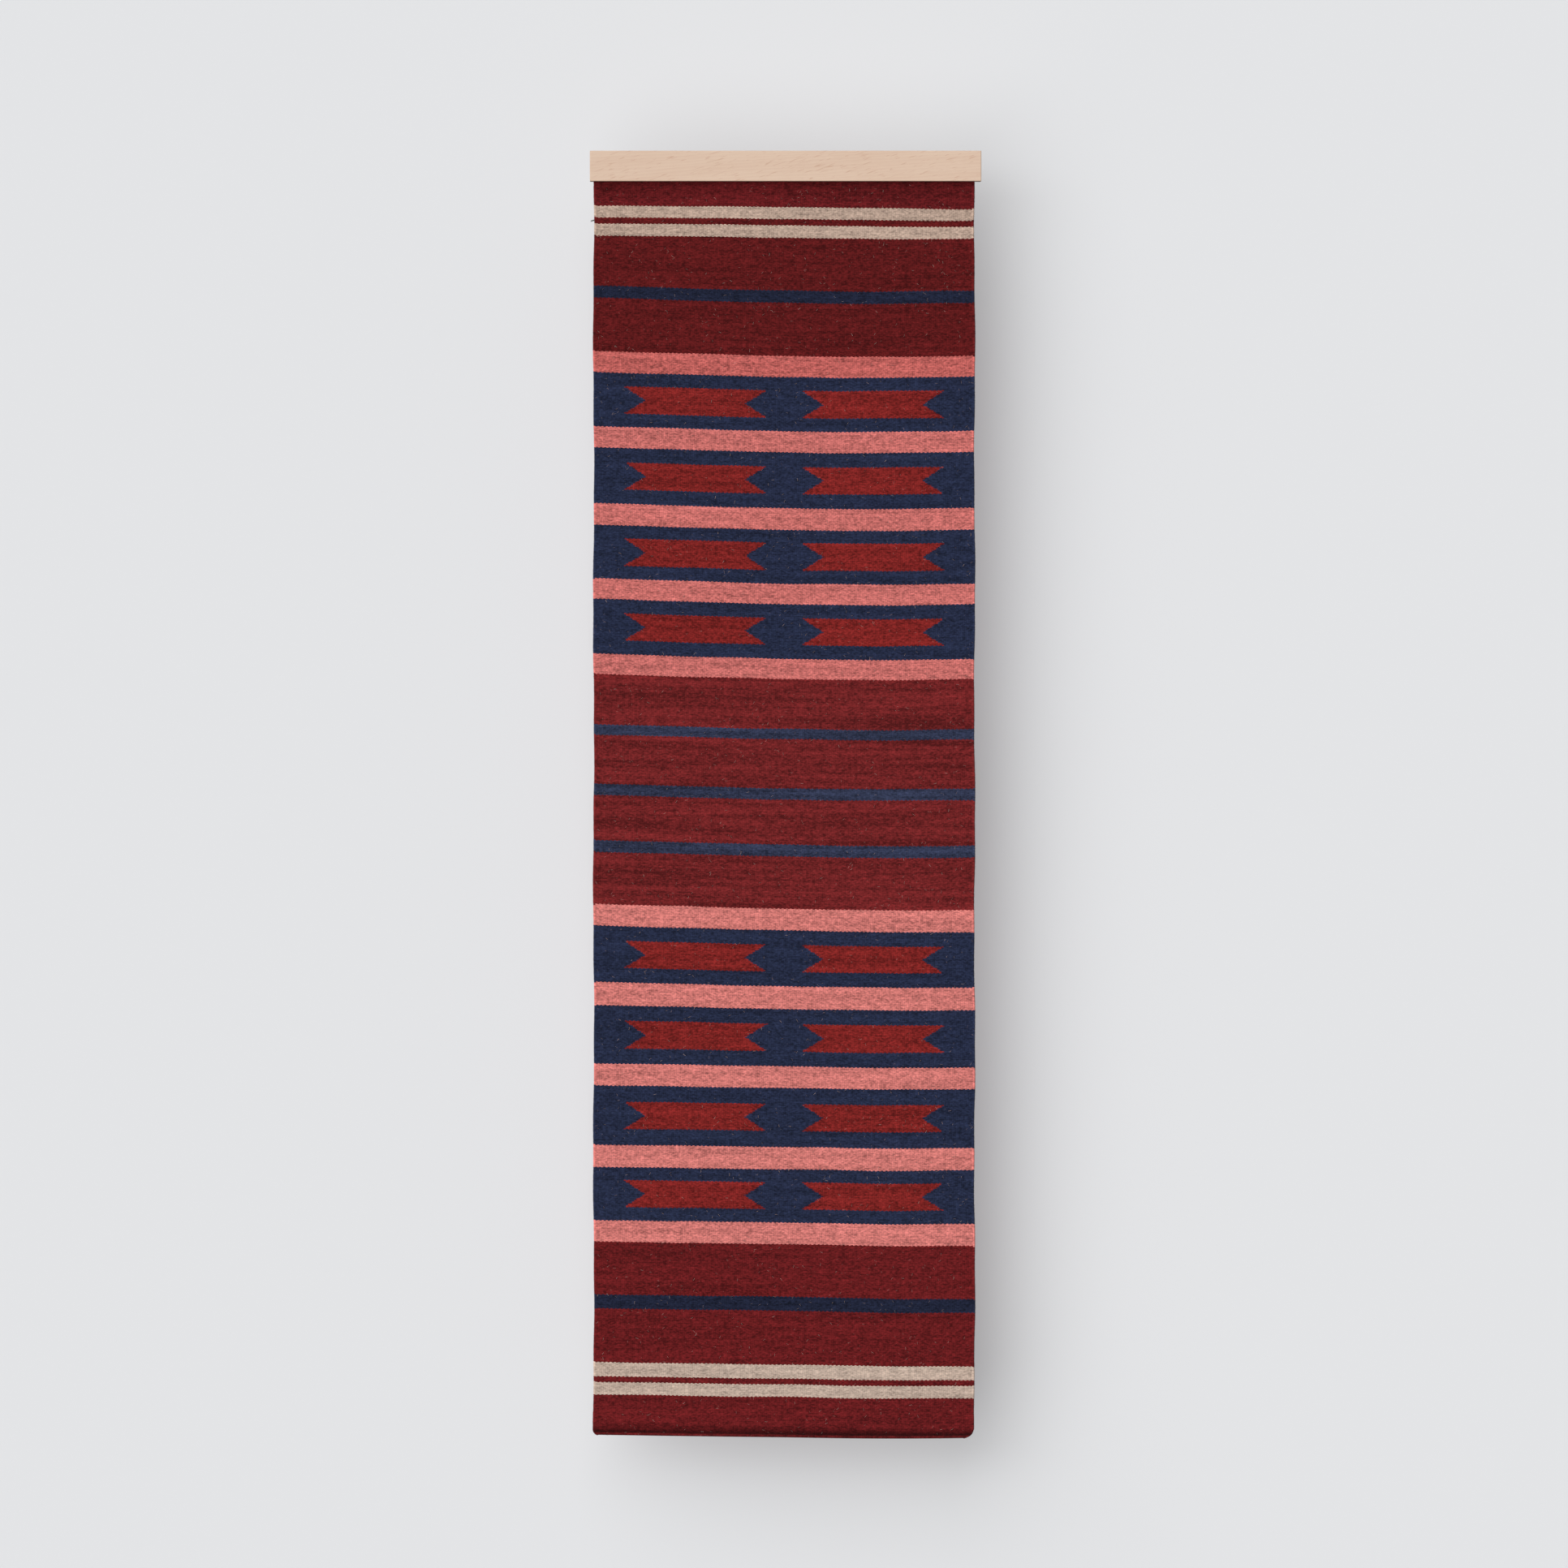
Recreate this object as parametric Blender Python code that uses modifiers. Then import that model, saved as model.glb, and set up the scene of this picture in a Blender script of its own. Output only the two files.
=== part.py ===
"""A tapestry wall hanging: a woven wool panel gripped at its top edge between two wooden boards.

Eight pairs of disc magnets pull the boards together, two dowels keep them in line, and two keyhole
plates in the back of the rear board hang the whole on a pair of wall screws.

Frame: metres, +Z up, +X to the viewer's right and -Y towards the viewer. The wall is the plane
Y = 0, and the origin is the middle of the rear board's back face.
"""

import math

import bmesh
import bpy
from mathutils import Matrix

# ---------------------------------------------------------------- driving dimensions, in metres
GAP = 0.0003  # between solids that touch on the real object

BAR_HEIGHT = 0.048
BAR_OVERHANG = 0.009  # past the cloth at each end
LIP_HEIGHT = 0.011  # of the front board's lip, above the cloth
REAR_THICKNESS = 0.015
FRONT_THICKNESS = 0.018  # in front of the cloth
BOARD_EDGE_ROUND = 0.0010

CLOTH_WIDTH = 0.600  # over both selvedges
CLOTH_DROP = 1.984  # from the underside of the boards to the bottom fold
CLOTH_THICKNESS = 0.0034
CLOTH_OFFSET = -0.0025  # the cloth hangs a little left of the bar's middle
SELVEDGE_DIAMETER = 0.005
SWING_ROOM = 0.0020  # from the boards' underside down to the line where the cloth bends
PANEL_DROP = 0.0015  # from that line down to the rigid panel

HEM_HEIGHT = 0.035  # of cloth turned up behind the bottom edge
STITCH_PITCH = 0.015
STITCH_HEIGHT = 0.006
STITCH_INSET = 0.007  # from the hem's upper edge down to the middle of the stitches
THREAD_DIAMETER = 0.0012

MAGNET_PAIRS = 8
MAGNET_INSET = 0.0375  # from the cloth's edge to the middle of the last magnet
MAGNET_DIAMETER = 0.020
MAGNET_THICKNESS = 0.005

DOWEL_DIAMETER = 0.005
DOWEL_DEPTH = 0.009  # into each board
DOWEL_INSET = 0.039  # from each end of the bar

PLATE_WIDTH = 0.046
PLATE_HEIGHT = 0.020
PLATE_THICKNESS = 0.0016
PLATE_CORNER = 0.004
KEYHOLE_DIAMETER = 0.0100
KEYHOLE_SLOT_WIDTH = 0.0048
KEYHOLE_SLOT_RISE = 0.0060  # from the round hole's centre to the slot's upper centre
POCKET_DEPTH = 0.0080  # in the wood behind the plate, for the wall screw's head
POCKET_MARGIN = 0.0016  # by which the pocket is larger than the keyhole, all round

SCREW_SPACING = 0.034
SCREW_HEAD_DIAMETER = 0.0058
SCREW_HEAD_HEIGHT = 0.0016
SCREW_HEAD_RIM = 0.0003
SCREW_SHANK_DIAMETER = 0.0030
SCREW_LENGTH = 0.0095
SCREW_POINT_LENGTH = 0.0030
DRIVER_SLOT_WIDTH = 0.0008
DRIVER_SLOT_DEPTH = 0.0006

ROUND_SIDES = 32
SCREW_SIDES = 16
CORNER_SEGMENTS = 5

# ---------------------------------------------------------------- places worked out from them
BAR_LENGTH = CLOTH_WIDTH + 2 * BAR_OVERHANG
GRIP_ROOM = CLOTH_THICKNESS + 2 * GAP  # between the boards' gripping faces
CLOTH_Y = -(REAR_THICKNESS + GRIP_ROOM / 2)
REAR_GRIP_Y = -REAR_THICKNESS
FRONT_GRIP_Y = -(REAR_THICKNESS + GRIP_ROOM)
FRONT_FACE_Y = FRONT_GRIP_Y - FRONT_THICKNESS
BAR_TOP_Z = BAR_HEIGHT / 2
BAR_BOTTOM_Z = -BAR_HEIGHT / 2
LIP_BOTTOM_Z = BAR_TOP_Z - LIP_HEIGHT
HEADING_TOP_Z = LIP_BOTTOM_Z - GAP
BEND_Z = BAR_BOTTOM_Z - SWING_ROOM
PANEL_TOP_Z = BEND_Z - PANEL_DROP
PANEL_BOTTOM_Z = BAR_BOTTOM_Z - CLOTH_DROP
PANEL_WIDTH = CLOTH_WIDTH - 2 * (SELVEDGE_DIAMETER + GAP)
MAGNET_PITCH = (CLOTH_WIDTH - 2 * MAGNET_INSET) / (MAGNET_PAIRS - 1)
MAGNET_Z = (BAR_BOTTOM_Z + LIP_BOTTOM_Z) / 2
DOWEL_X = BAR_LENGTH / 2 - DOWEL_INSET
DOWEL_Z = BAR_TOP_Z - LIP_HEIGHT / 2
PLATE_X = MAGNET_PITCH * (MAGNET_PAIRS - 2) / 2  # midway between the last two magnets
PLATE_BACK_Y = -GAP
KEYHOLE_Z = -(KEYHOLE_SLOT_RISE + KEYHOLE_SLOT_WIDTH / 2 - KEYHOLE_DIAMETER / 2) / 2

# name, colour, roughness, metallic
MAPLE = ("maple", (0.72, 0.53, 0.39), 0.55, 0.0)
BEECH_DOWEL = ("beech_dowel", (0.66, 0.46, 0.30), 0.60, 0.0)
NICKEL_MAGNET = ("nickel_magnet", (0.62, 0.61, 0.58), 0.25, 1.0)
ZINC_STEEL = ("zinc_steel", (0.56, 0.57, 0.58), 0.35, 1.0)
WINE_WOOL = ("wine_wool", (0.12, 0.013, 0.014), 0.95, 0.0)
LINEN_THREAD = ("linen_thread", (0.10, 0.012, 0.012), 0.85, 0.0)

TO_BACK = (math.radians(-90), 0.0, 0.0)  # turns a shape's +Z to +Y, towards the wall
FACING_BACK = (math.radians(90), 0.0, 0.0)  # stands a flat shape up: its +Y becomes +Z


# ---------------------------------------------------------------- helpers
def clear_scene():
    for thing in list(bpy.data.objects):
        bpy.data.objects.remove(thing)


def new_collection(name):
    found = bpy.data.collections.new(name)
    bpy.context.scene.collection.children.link(found)
    return found


def material(look):
    name, colour, roughness, metallic = look
    found = bpy.data.materials.get(name)
    if found is None:
        found = bpy.data.materials.new(name)
        found.use_nodes = True
        shader = found.node_tree.nodes["Principled BSDF"]
        shader.inputs["Base Color"].default_value = (*colour, 1.0)
        shader.inputs["Roughness"].default_value = roughness
        shader.inputs["Metallic"].default_value = metallic
    return found


def add_part(name, shape, look, at=(0.0, 0.0, 0.0), turned=(0.0, 0.0, 0.0)):
    """An object in the part's collection, from a mesh or a curve."""
    part = bpy.data.objects.new(name, shape)
    part.location = at
    part.rotation_euler = turned
    if not shape.materials:
        shape.materials.append(material(look))
    PARTS.objects.link(part)
    return part


def add_axis(name, at):
    """An empty on a joint's axis, which carries the pieces that move on it."""
    axis = bpy.data.objects.new(name, None)
    axis.location = at
    PARTS.objects.link(axis)
    return axis


def carry(axis, part):
    part.parent = axis
    part.matrix_parent_inverse = Matrix.Translation(axis.location).inverted()


def add_cutter(name, mesh, at, turned=(0.0, 0.0, 0.0)):
    cutter = bpy.data.objects.new(name, mesh)
    cutter.location = at
    cutter.rotation_euler = turned
    cutter.hide_render = True
    cutter.display_type = "WIRE"
    CUTTERS.objects.link(cutter)
    return cutter


def cut(part, cutter):
    difference = part.modifiers.new("cut_" + cutter.name, "BOOLEAN")
    difference.operation = "DIFFERENCE"
    difference.solver = "EXACT"
    difference.object = cutter


def ease_edges(part, width):
    eased = part.modifiers.new("eased_edges", "BEVEL")
    eased.width = width
    eased.segments = 2
    eased.limit_method = "ANGLE"


def shade_round(part):
    part.data.shade_smooth()
    part.data.set_sharp_from_angle(angle=math.radians(30))


def mesh_from(work, name):
    mesh = bpy.data.meshes.new(name)
    work.to_mesh(mesh)
    work.free()
    return mesh


def box(name, size):
    """A box about its own middle."""
    work = bmesh.new()
    bmesh.ops.create_cube(work, size=1.0, matrix=Matrix.Diagonal((*size, 1.0)))
    return mesh_from(work, name)


def plate(name, size, corner):
    """A box about its own middle, with its four upright corners, along Z, rounded."""
    work = bmesh.new()
    bmesh.ops.create_cube(work, size=1.0, matrix=Matrix.Diagonal((*size, 1.0)))
    upright = [edge for edge in work.edges if edge.verts[0].co.xy == edge.verts[1].co.xy]
    bmesh.ops.bevel(
        work, geom=upright, offset=corner, segments=CORNER_SEGMENTS, profile=0.5, affect="EDGES"
    )
    return mesh_from(work, name)


def disc(name, diameter, depth):
    """A cylinder about its own middle, along Z."""
    work = bmesh.new()
    radius = diameter / 2
    bmesh.ops.create_cone(
        work, cap_ends=True, segments=ROUND_SIDES, radius1=radius, radius2=radius, depth=depth
    )
    return mesh_from(work, name)


def turned_profile(name, points):
    """Points of (radius, height), from the top down. Turn_round makes the solid."""
    work = bmesh.new()
    corners = [work.verts.new((radius, 0.0, height)) for radius, height in points]
    for upper, lower in zip(corners, corners[1:]):
        work.edges.new((upper, lower))
    return mesh_from(work, name)


def turn_round(thing):
    screw = thing.modifiers.new("turned", "SCREW")
    screw.steps = SCREW_SIDES
    screw.render_steps = SCREW_SIDES
    screw.use_merge_vertices = True
    screw.merge_threshold = 0.00001


def flat_outline(name, points, thickness):
    """A mesh of a flat outline in its own XY plane, about its own middle height."""
    curve = bpy.data.curves.new(name, "CURVE")
    curve.dimensions = "2D"
    curve.fill_mode = "BOTH"
    curve.extrude = thickness / 2
    spline = curve.splines.new("POLY")
    spline.points.add(len(points) - 1)
    for point, (x, y) in zip(spline.points, points):
        point.co = (x, y, 0.0, 1.0)
    spline.use_cyclic_u = True
    holder = bpy.data.objects.new(name, curve)
    CUTTERS.objects.link(holder)
    graph = bpy.context.evaluated_depsgraph_get()
    mesh = bpy.data.meshes.new_from_object(holder.evaluated_get(graph))
    bpy.data.objects.remove(holder)
    work = bmesh.new()
    work.from_mesh(mesh)
    bmesh.ops.remove_doubles(work, verts=work.verts, dist=0.00001)
    bmesh.ops.recalc_face_normals(work, faces=work.faces)
    work.to_mesh(mesh)
    work.free()
    return mesh


def round_line(name, points, diameter):
    """A round cord or thread along straight runs, with closed ends."""
    curve = bpy.data.curves.new(name, "CURVE")
    curve.dimensions = "3D"
    curve.bevel_depth = diameter / 2
    curve.bevel_resolution = 2
    curve.use_fill_caps = True
    spline = curve.splines.new("POLY")
    spline.points.add(len(points) - 1)
    for point, place in zip(spline.points, points):
        point.co = (*place, 1.0)
    return curve


def row_of(count, pitch):
    """Places along X, evenly spaced about the middle."""
    return [(i - (count - 1) / 2) * pitch for i in range(count)]


# ---------------------------------------------------------------- the wooden clamp
def add_rear_board():
    mesh = box("rear_board", (BAR_LENGTH, REAR_THICKNESS, BAR_HEIGHT))
    board = add_part("rear_board", mesh, MAPLE, (0.0, -REAR_THICKNESS / 2, 0.0))
    ease_edges(board, BOARD_EDGE_ROUND)
    return board


def add_front_board(pull_axis):
    """Rebated at the back, so that a lip along its top closes the grip above the cloth."""
    depth = FRONT_THICKNESS + GRIP_ROOM - GAP
    mesh = box("front_board", (BAR_LENGTH, depth, BAR_HEIGHT))
    board = add_part("front_board", mesh, MAPLE, (0.0, FRONT_FACE_Y + depth / 2, 0.0))
    ease_edges(board, BOARD_EDGE_ROUND)
    overrun = GRIP_ROOM
    rebate_bottom = BAR_BOTTOM_Z - overrun
    size = (BAR_LENGTH + 2 * overrun, GRIP_ROOM + overrun, LIP_BOTTOM_Z - rebate_bottom)
    middle = (0.0, FRONT_GRIP_Y + size[1] / 2, (LIP_BOTTOM_Z + rebate_bottom) / 2)
    cut(board, add_cutter("rebate", box("rebate", size), middle))
    carry(pull_axis, board)
    return board


def add_magnets(side, board, grip_y, into_wood):
    """Discs in blind pockets that open on the face that grips the cloth."""
    magnet_mesh = disc("magnet", MAGNET_DIAMETER, MAGNET_THICKNESS)
    pocket_mesh = disc("magnet_pocket", MAGNET_DIAMETER + 2 * GAP, 2 * (MAGNET_THICKNESS + GAP))
    magnets = []
    for number, x in enumerate(row_of(MAGNET_PAIRS, MAGNET_PITCH), 1):
        middle = (x, grip_y + into_wood * MAGNET_THICKNESS / 2, MAGNET_Z)
        magnet = add_part(f"{side}_magnet_{number}", magnet_mesh, NICKEL_MAGNET, middle, TO_BACK)
        shade_round(magnet)
        magnets.append(magnet)
        mouth = (x, grip_y, MAGNET_Z)
        cut(board, add_cutter(f"{side}_magnet_pocket_{number}", pocket_mesh, mouth, TO_BACK))
    return magnets


def add_dowels(rear, front):
    """Glued into the rear board. The front board slides on and off them."""
    length = GRIP_ROOM + 2 * DOWEL_DEPTH
    dowel_mesh = disc("dowel", DOWEL_DIAMETER, length)
    hole_mesh = disc("dowel_hole", DOWEL_DIAMETER + 2 * GAP, length + 2 * GAP)
    for side, x in (("left", -DOWEL_X), ("right", DOWEL_X)):
        middle = (x, CLOTH_Y, DOWEL_Z)
        shade_round(add_part(f"dowel_{side}", dowel_mesh, BEECH_DOWEL, middle, TO_BACK))
        hole = add_cutter(f"dowel_hole_{side}", hole_mesh, middle, TO_BACK)
        cut(rear, hole)
        cut(front, hole)


# ---------------------------------------------------------------- the keyhole plates
def keyhole_outline(margin):
    """A round hole about (0, 0), with a slot that rises from it to a round end."""
    radius = KEYHOLE_DIAMETER / 2 + margin
    half_slot = KEYHOLE_SLOT_WIDTH / 2 + margin
    mouth = math.asin(half_slot / radius)  # from straight up to the slot's corner
    around = 2 * (math.pi - mouth)
    steps = ROUND_SIDES - 4
    hole = [mouth + around * i / steps for i in range(steps + 1)]
    end_steps = ROUND_SIDES // 2 - 4
    end = [math.pi * (1 - i / end_steps) for i in range(end_steps + 1)]
    points = [(radius * math.sin(angle), radius * math.cos(angle)) for angle in hole]
    for angle in end:
        points.append((half_slot * math.cos(angle), KEYHOLE_SLOT_RISE + half_slot * math.sin(angle)))
    return points


def add_keyhole_plates(board):
    """Let into the board's back, over a pocket that takes the wall screw's head."""
    plate_mesh = plate("keyhole_plate", (PLATE_WIDTH, PLATE_HEIGHT, PLATE_THICKNESS), PLATE_CORNER)
    mortise_size = (PLATE_WIDTH + 2 * GAP, PLATE_HEIGHT + 2 * GAP, 2 * (PLATE_THICKNESS + 2 * GAP))
    mortise_mesh = plate("mortise", mortise_size, PLATE_CORNER)
    depth = 2 * (PLATE_THICKNESS + POCKET_DEPTH)
    pocket_mesh = flat_outline("pocket", keyhole_outline(POCKET_MARGIN), depth)
    keyhole_mesh = flat_outline("keyhole", keyhole_outline(0.0), 4 * PLATE_THICKNESS)
    numbers = iter(range(1, 5))
    for side, x in (("left", -PLATE_X), ("right", PLATE_X)):
        middle = (x, PLATE_BACK_Y - PLATE_THICKNESS / 2, 0.0)
        strip = add_part(f"keyhole_plate_{side}", plate_mesh, ZINC_STEEL, middle, FACING_BACK)
        cut(board, add_cutter(f"mortise_{side}", mortise_mesh, (x, 0.0, 0.0), FACING_BACK))
        hole_centre = (x, 0.0, KEYHOLE_Z)
        cut(board, add_cutter(f"keyhole_pocket_{side}", pocket_mesh, hole_centre, FACING_BACK))
        cut(strip, add_cutter(f"keyhole_{side}", keyhole_mesh, hole_centre, FACING_BACK))
        for screw_x in (x - SCREW_SPACING / 2, x + SCREW_SPACING / 2):
            add_keyhole_screw(next(numbers), screw_x, strip, board)


def screw_outline(clearance, overrun):
    """Half of a countersunk wood screw, from its flat head down to its point."""
    head = SCREW_HEAD_DIAMETER / 2 + clearance
    shank = SCREW_SHANK_DIAMETER / 2 + clearance
    return [
        (0.0, overrun),
        (head, overrun),
        (head, -SCREW_HEAD_RIM),
        (shank, -SCREW_HEAD_HEIGHT),
        (shank, SCREW_POINT_LENGTH - SCREW_LENGTH),
        (0.0, -SCREW_LENGTH - clearance),
    ]


def add_keyhole_screw(number, x, strip, board):
    """Countersunk and slotted, with its head level with the plate's back."""
    place = (x, PLATE_BACK_Y, 0.0)
    outline = turned_profile("screw", screw_outline(0.0, 0.0))
    screw = add_part(f"keyhole_screw_{number}", outline, ZINC_STEEL, place, TO_BACK)
    turn_round(screw)
    slot_size = (DRIVER_SLOT_WIDTH, 2 * SCREW_HEAD_DIAMETER, 2 * DRIVER_SLOT_DEPTH)
    cut(screw, add_cutter(f"driver_slot_{number}", box("driver_slot", slot_size), place, TO_BACK))
    outline = turned_profile("screw_hole", screw_outline(GAP, SCREW_HEAD_HEIGHT))
    hole = add_cutter(f"screw_hole_{number}", outline, place, TO_BACK)
    turn_round(hole)
    cut(strip, hole)
    cut(board, hole)


# ---------------------------------------------------------------- the woven cloth
def add_heading():
    """The top of the cloth, which the boards grip."""
    size = (CLOTH_WIDTH, CLOTH_THICKNESS, HEADING_TOP_Z - BAR_BOTTOM_Z)
    middle = (CLOTH_OFFSET, CLOTH_Y, HEADING_TOP_Z - size[2] / 2)
    add_part("tapestry_heading", box("tapestry_heading", size), WINE_WOOL, middle)


def add_panel(swing_axis):
    """The hanging cloth, between its two selvedges."""
    size = (PANEL_WIDTH, CLOTH_THICKNESS, PANEL_TOP_Z - PANEL_BOTTOM_Z)
    middle = (CLOTH_OFFSET, CLOTH_Y, PANEL_TOP_Z - size[2] / 2)
    carry(swing_axis, add_part("tapestry_panel", box("tapestry_panel", size), WINE_WOOL, middle))


def add_selvedges(swing_axis):
    """The bundled edge warps down both sides, which the wefts wrap round."""
    from_middle = (CLOTH_WIDTH - SELVEDGE_DIAMETER) / 2
    for side, x in (("left", CLOTH_OFFSET - from_middle), ("right", CLOTH_OFFSET + from_middle)):
        ends = [(x, CLOTH_Y, PANEL_TOP_Z), (x, CLOTH_Y, PANEL_BOTTOM_Z)]
        cord = round_line("selvedge", ends, SELVEDGE_DIAMETER)
        carry(swing_axis, add_part(f"selvedge_{side}", cord, WINE_WOOL))


def add_hem(swing_axis):
    """The cloth turned up behind the bottom edge, and the zigzag of thread that holds it."""
    fold_front_y = CLOTH_Y + CLOTH_THICKNESS / 2 + GAP
    fold_back_y = fold_front_y + CLOTH_THICKNESS
    middle = (CLOTH_OFFSET, (fold_front_y + fold_back_y) / 2, PANEL_BOTTOM_Z + HEM_HEIGHT / 2)
    fold_mesh = box("hem_fold", (PANEL_WIDTH, CLOTH_THICKNESS, HEM_HEIGHT))
    carry(swing_axis, add_part("hem_fold", fold_mesh, WINE_WOOL, middle))

    thread_y = fold_back_y + GAP + THREAD_DIAMETER / 2
    thread_z = PANEL_BOTTOM_Z + HEM_HEIGHT - STITCH_INSET
    half_stitches = 2 * int((PANEL_WIDTH - STITCH_PITCH) / STITCH_PITCH)
    points = []
    for number, x in enumerate(row_of(half_stitches, STITCH_PITCH / 2)):
        rise = STITCH_HEIGHT / 2 if number % 2 else -STITCH_HEIGHT / 2
        points.append((CLOTH_OFFSET + x, thread_y, thread_z + rise))
    thread = round_line("hem_thread", points, THREAD_DIAMETER)
    carry(swing_axis, add_part("hem_thread", thread, LINEN_THREAD))


# ---------------------------------------------------------------- the assembly
clear_scene()
PARTS = new_collection("tapestry_wall_hanging")
CUTTERS = new_collection("cutters")
SWING_AXIS = add_axis("cloth_swing_axis", (0.0, CLOTH_Y, BEND_Z))
PULL_AXIS = add_axis("front_board_pull_axis", (0.0, FRONT_GRIP_Y, DOWEL_Z))

rear_board = add_rear_board()
front_board = add_front_board(PULL_AXIS)
add_magnets("rear", rear_board, REAR_GRIP_Y, 1)
for front_magnet in add_magnets("front", front_board, FRONT_GRIP_Y, -1):
    carry(PULL_AXIS, front_magnet)
add_dowels(rear_board, front_board)
add_keyhole_plates(rear_board)
add_heading()
add_panel(SWING_AXIS)
add_selvedges(SWING_AXIS)
add_hem(SWING_AXIS)
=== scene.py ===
"""Looks for the tapestry wall hanging: handwoven wool, an oiled maple clamp and plated fittings.

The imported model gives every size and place. This script weaves the cloth over it, wraps its
selvedges, stitches its hem, finishes the wood and metal, and sets the wall, floor and light.
"""

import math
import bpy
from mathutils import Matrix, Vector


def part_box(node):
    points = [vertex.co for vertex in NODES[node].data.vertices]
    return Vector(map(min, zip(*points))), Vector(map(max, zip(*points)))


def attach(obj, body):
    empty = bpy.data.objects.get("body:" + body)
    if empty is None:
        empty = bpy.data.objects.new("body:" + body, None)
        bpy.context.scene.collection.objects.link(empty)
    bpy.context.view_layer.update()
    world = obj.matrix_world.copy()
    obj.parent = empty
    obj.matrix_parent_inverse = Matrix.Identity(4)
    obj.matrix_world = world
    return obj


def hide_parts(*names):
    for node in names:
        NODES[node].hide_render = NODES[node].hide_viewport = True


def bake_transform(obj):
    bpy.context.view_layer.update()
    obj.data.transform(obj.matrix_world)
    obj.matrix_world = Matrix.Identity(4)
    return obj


bl_info = {
    "name": "Tapestry Wall Hanging",
    "version": (1, 0, 0),
    "blender": (4, 5, 0),
    "location": "3D View > Sidebar > Tapestry",
    "description": "Weaves the wool cloth of a tapestry wall hanging and finishes its wooden clamp",
    "category": "Add Mesh",
}

from functools import partial

import bpy
import numpy as np
from bpy.props import FloatProperty, FloatVectorProperty, IntProperty, PointerProperty
from mathutils import Vector

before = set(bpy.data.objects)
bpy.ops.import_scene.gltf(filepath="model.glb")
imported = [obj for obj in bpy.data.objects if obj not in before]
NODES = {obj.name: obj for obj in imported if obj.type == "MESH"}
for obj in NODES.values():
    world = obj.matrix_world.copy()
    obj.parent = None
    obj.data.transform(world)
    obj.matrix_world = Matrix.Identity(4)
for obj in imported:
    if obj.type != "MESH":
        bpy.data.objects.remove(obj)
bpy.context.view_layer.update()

MM = 0.001
TURN = 2 * math.pi

# ---------- places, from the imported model
HEADING_LOW, HEADING_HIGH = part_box("tapestry_heading")
PANEL_LOW, PANEL_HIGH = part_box("tapestry_panel")
HEM_LOW, HEM_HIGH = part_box("hem_fold")
CORD_LOW, CORD_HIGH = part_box("selvedge_left")
BOARD_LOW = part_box("rear_board")[0]

HALF_WIDTH = (HEADING_HIGH.x - HEADING_LOW.x) / 2
CLOTH_Y = (PANEL_LOW.y + PANEL_HIGH.y) / 2
HALF_THICKNESS = (PANEL_HIGH.y - PANEL_LOW.y) / 2
CORD_DIAMETER = CORD_HIGH.x - CORD_LOW.x
CORD_PLACE = HALF_WIDTH - CORD_DIAMETER / 2
CLAMP_Z = BOARD_LOW.z
GRIPPED = HEADING_HIGH.z - CLAMP_Z
DROP = CLAMP_Z - PANEL_LOW.z
HEM_TOP = HEM_HIGH.z
HEM_Y = (HEM_LOW.y + HEM_HIGH.y) / 2

# ---------- the weaver's draft
# Each stripe from the boards' underside down: its yarn, and its height in millimetres.
DRAFT = (
    # The first stripe's yarn is painted lighter, to cancel the clamp's shadow on it.
    ("first_wine_painted_light", 40), ("natural", 19), ("wine", 10), ("natural", 20), ("wine", 83),
    ("deep_navy", 20), ("wine", 84), ("first_rose", 33),
    ("navy", 86), ("rose", 33), ("navy", 88), ("rose", 34),
    ("navy", 85), ("rose", 33), ("navy", 86), ("rose", 32),
    ("madder", 79), ("faded_navy", 16), ("madder", 77), ("faded_navy", 18),
    ("madder", 72), ("faded_navy", 18), ("madder", 83), ("late_rose", 34),
    ("navy", 88), ("late_rose", 36), ("navy", 91), ("late_rose", 34),
    ("navy", 93), ("late_rose", 35), ("navy", 84), ("late_rose", 34),
    ("late_wine", 84), ("deep_navy", 22), ("late_wine", 85), ("pale_natural", 22),
    ("late_wine", 9), ("pale_natural", 20), ("late_wine", 63),
)
STRIPE_ENDS = np.cumsum([height for _, height in DRAFT]) * MM
RIBBON_GROUND = "navy"
MADDER_STRIPES = [stripe for stripe, (yarn, _) in enumerate(DRAFT) if yarn == "madder"]
MADDER_TOP = STRIPE_ENDS[MADDER_STRIPES[0] - 1]
MADDER_BOTTOM = STRIPE_ENDS[MADDER_STRIPES[-1]]

# How much higher the weft lies at each edge than at the middle: depth below the boards, rise.
LEFT_LIFTS = ((0, 0), (0.18, 8), (0.7, 9), (0.95, 7), (1.18, 8), (1.5, 4), (2, 4))
RIGHT_LIFTS = (
    (0, 0), (0.04, -4), (0.1, -1), (0.38, 2), (0.6, 0), (0.9, 0), (1.2, -3), (1.5, -1), (1.75, -4), (2, -1)
)
EASE_DEPTH = 0.11  # below the boards, where the cloth first hangs as unevenly as it likes

PRESSED = 0.72  # thickness of the selvedge between the boards, as a share of its own
TAIL_DEPTH = 64 * MM
# The hem rolls back to the first angle, turns down in a crease to the second, and tucks under.
HEM_LEAN, HEM_LIP, HEM_TUCK = (math.radians(angle) for angle in (42, 12, 35))
CREASE_RADIUS = 5 * MM
DARK_SLUB = (-0.278, 0.013)  # across and down, near the top left corner
# The longest step between rows of the cloth's mesh, for each stretch from the clamp round the hem.
ROW_STEPS = (6.4 * MM, 1.1 * MM, 0.8 * MM, 0.8 * MM, 2.5 * MM, 1.2 * MM, 4.0 * MM)

# The camera's place, and the ways that the light travels.
CAMERA_LENS = 400  # millimetres, long enough to see the clamp squarely
CAMERA_PLACE = (-0.0025, CLOTH_Y - 3.44 * CAMERA_LENS / 50, -0.9757)
KEY_TRAVEL = (0.55, 1.0, -0.84)
LOW_TRAVEL = (0.55, 1.0, 0.12)
BACK_TRAVEL = (-0.45, -1.0, -0.5)
FLOOR_Z = -2.42

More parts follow.
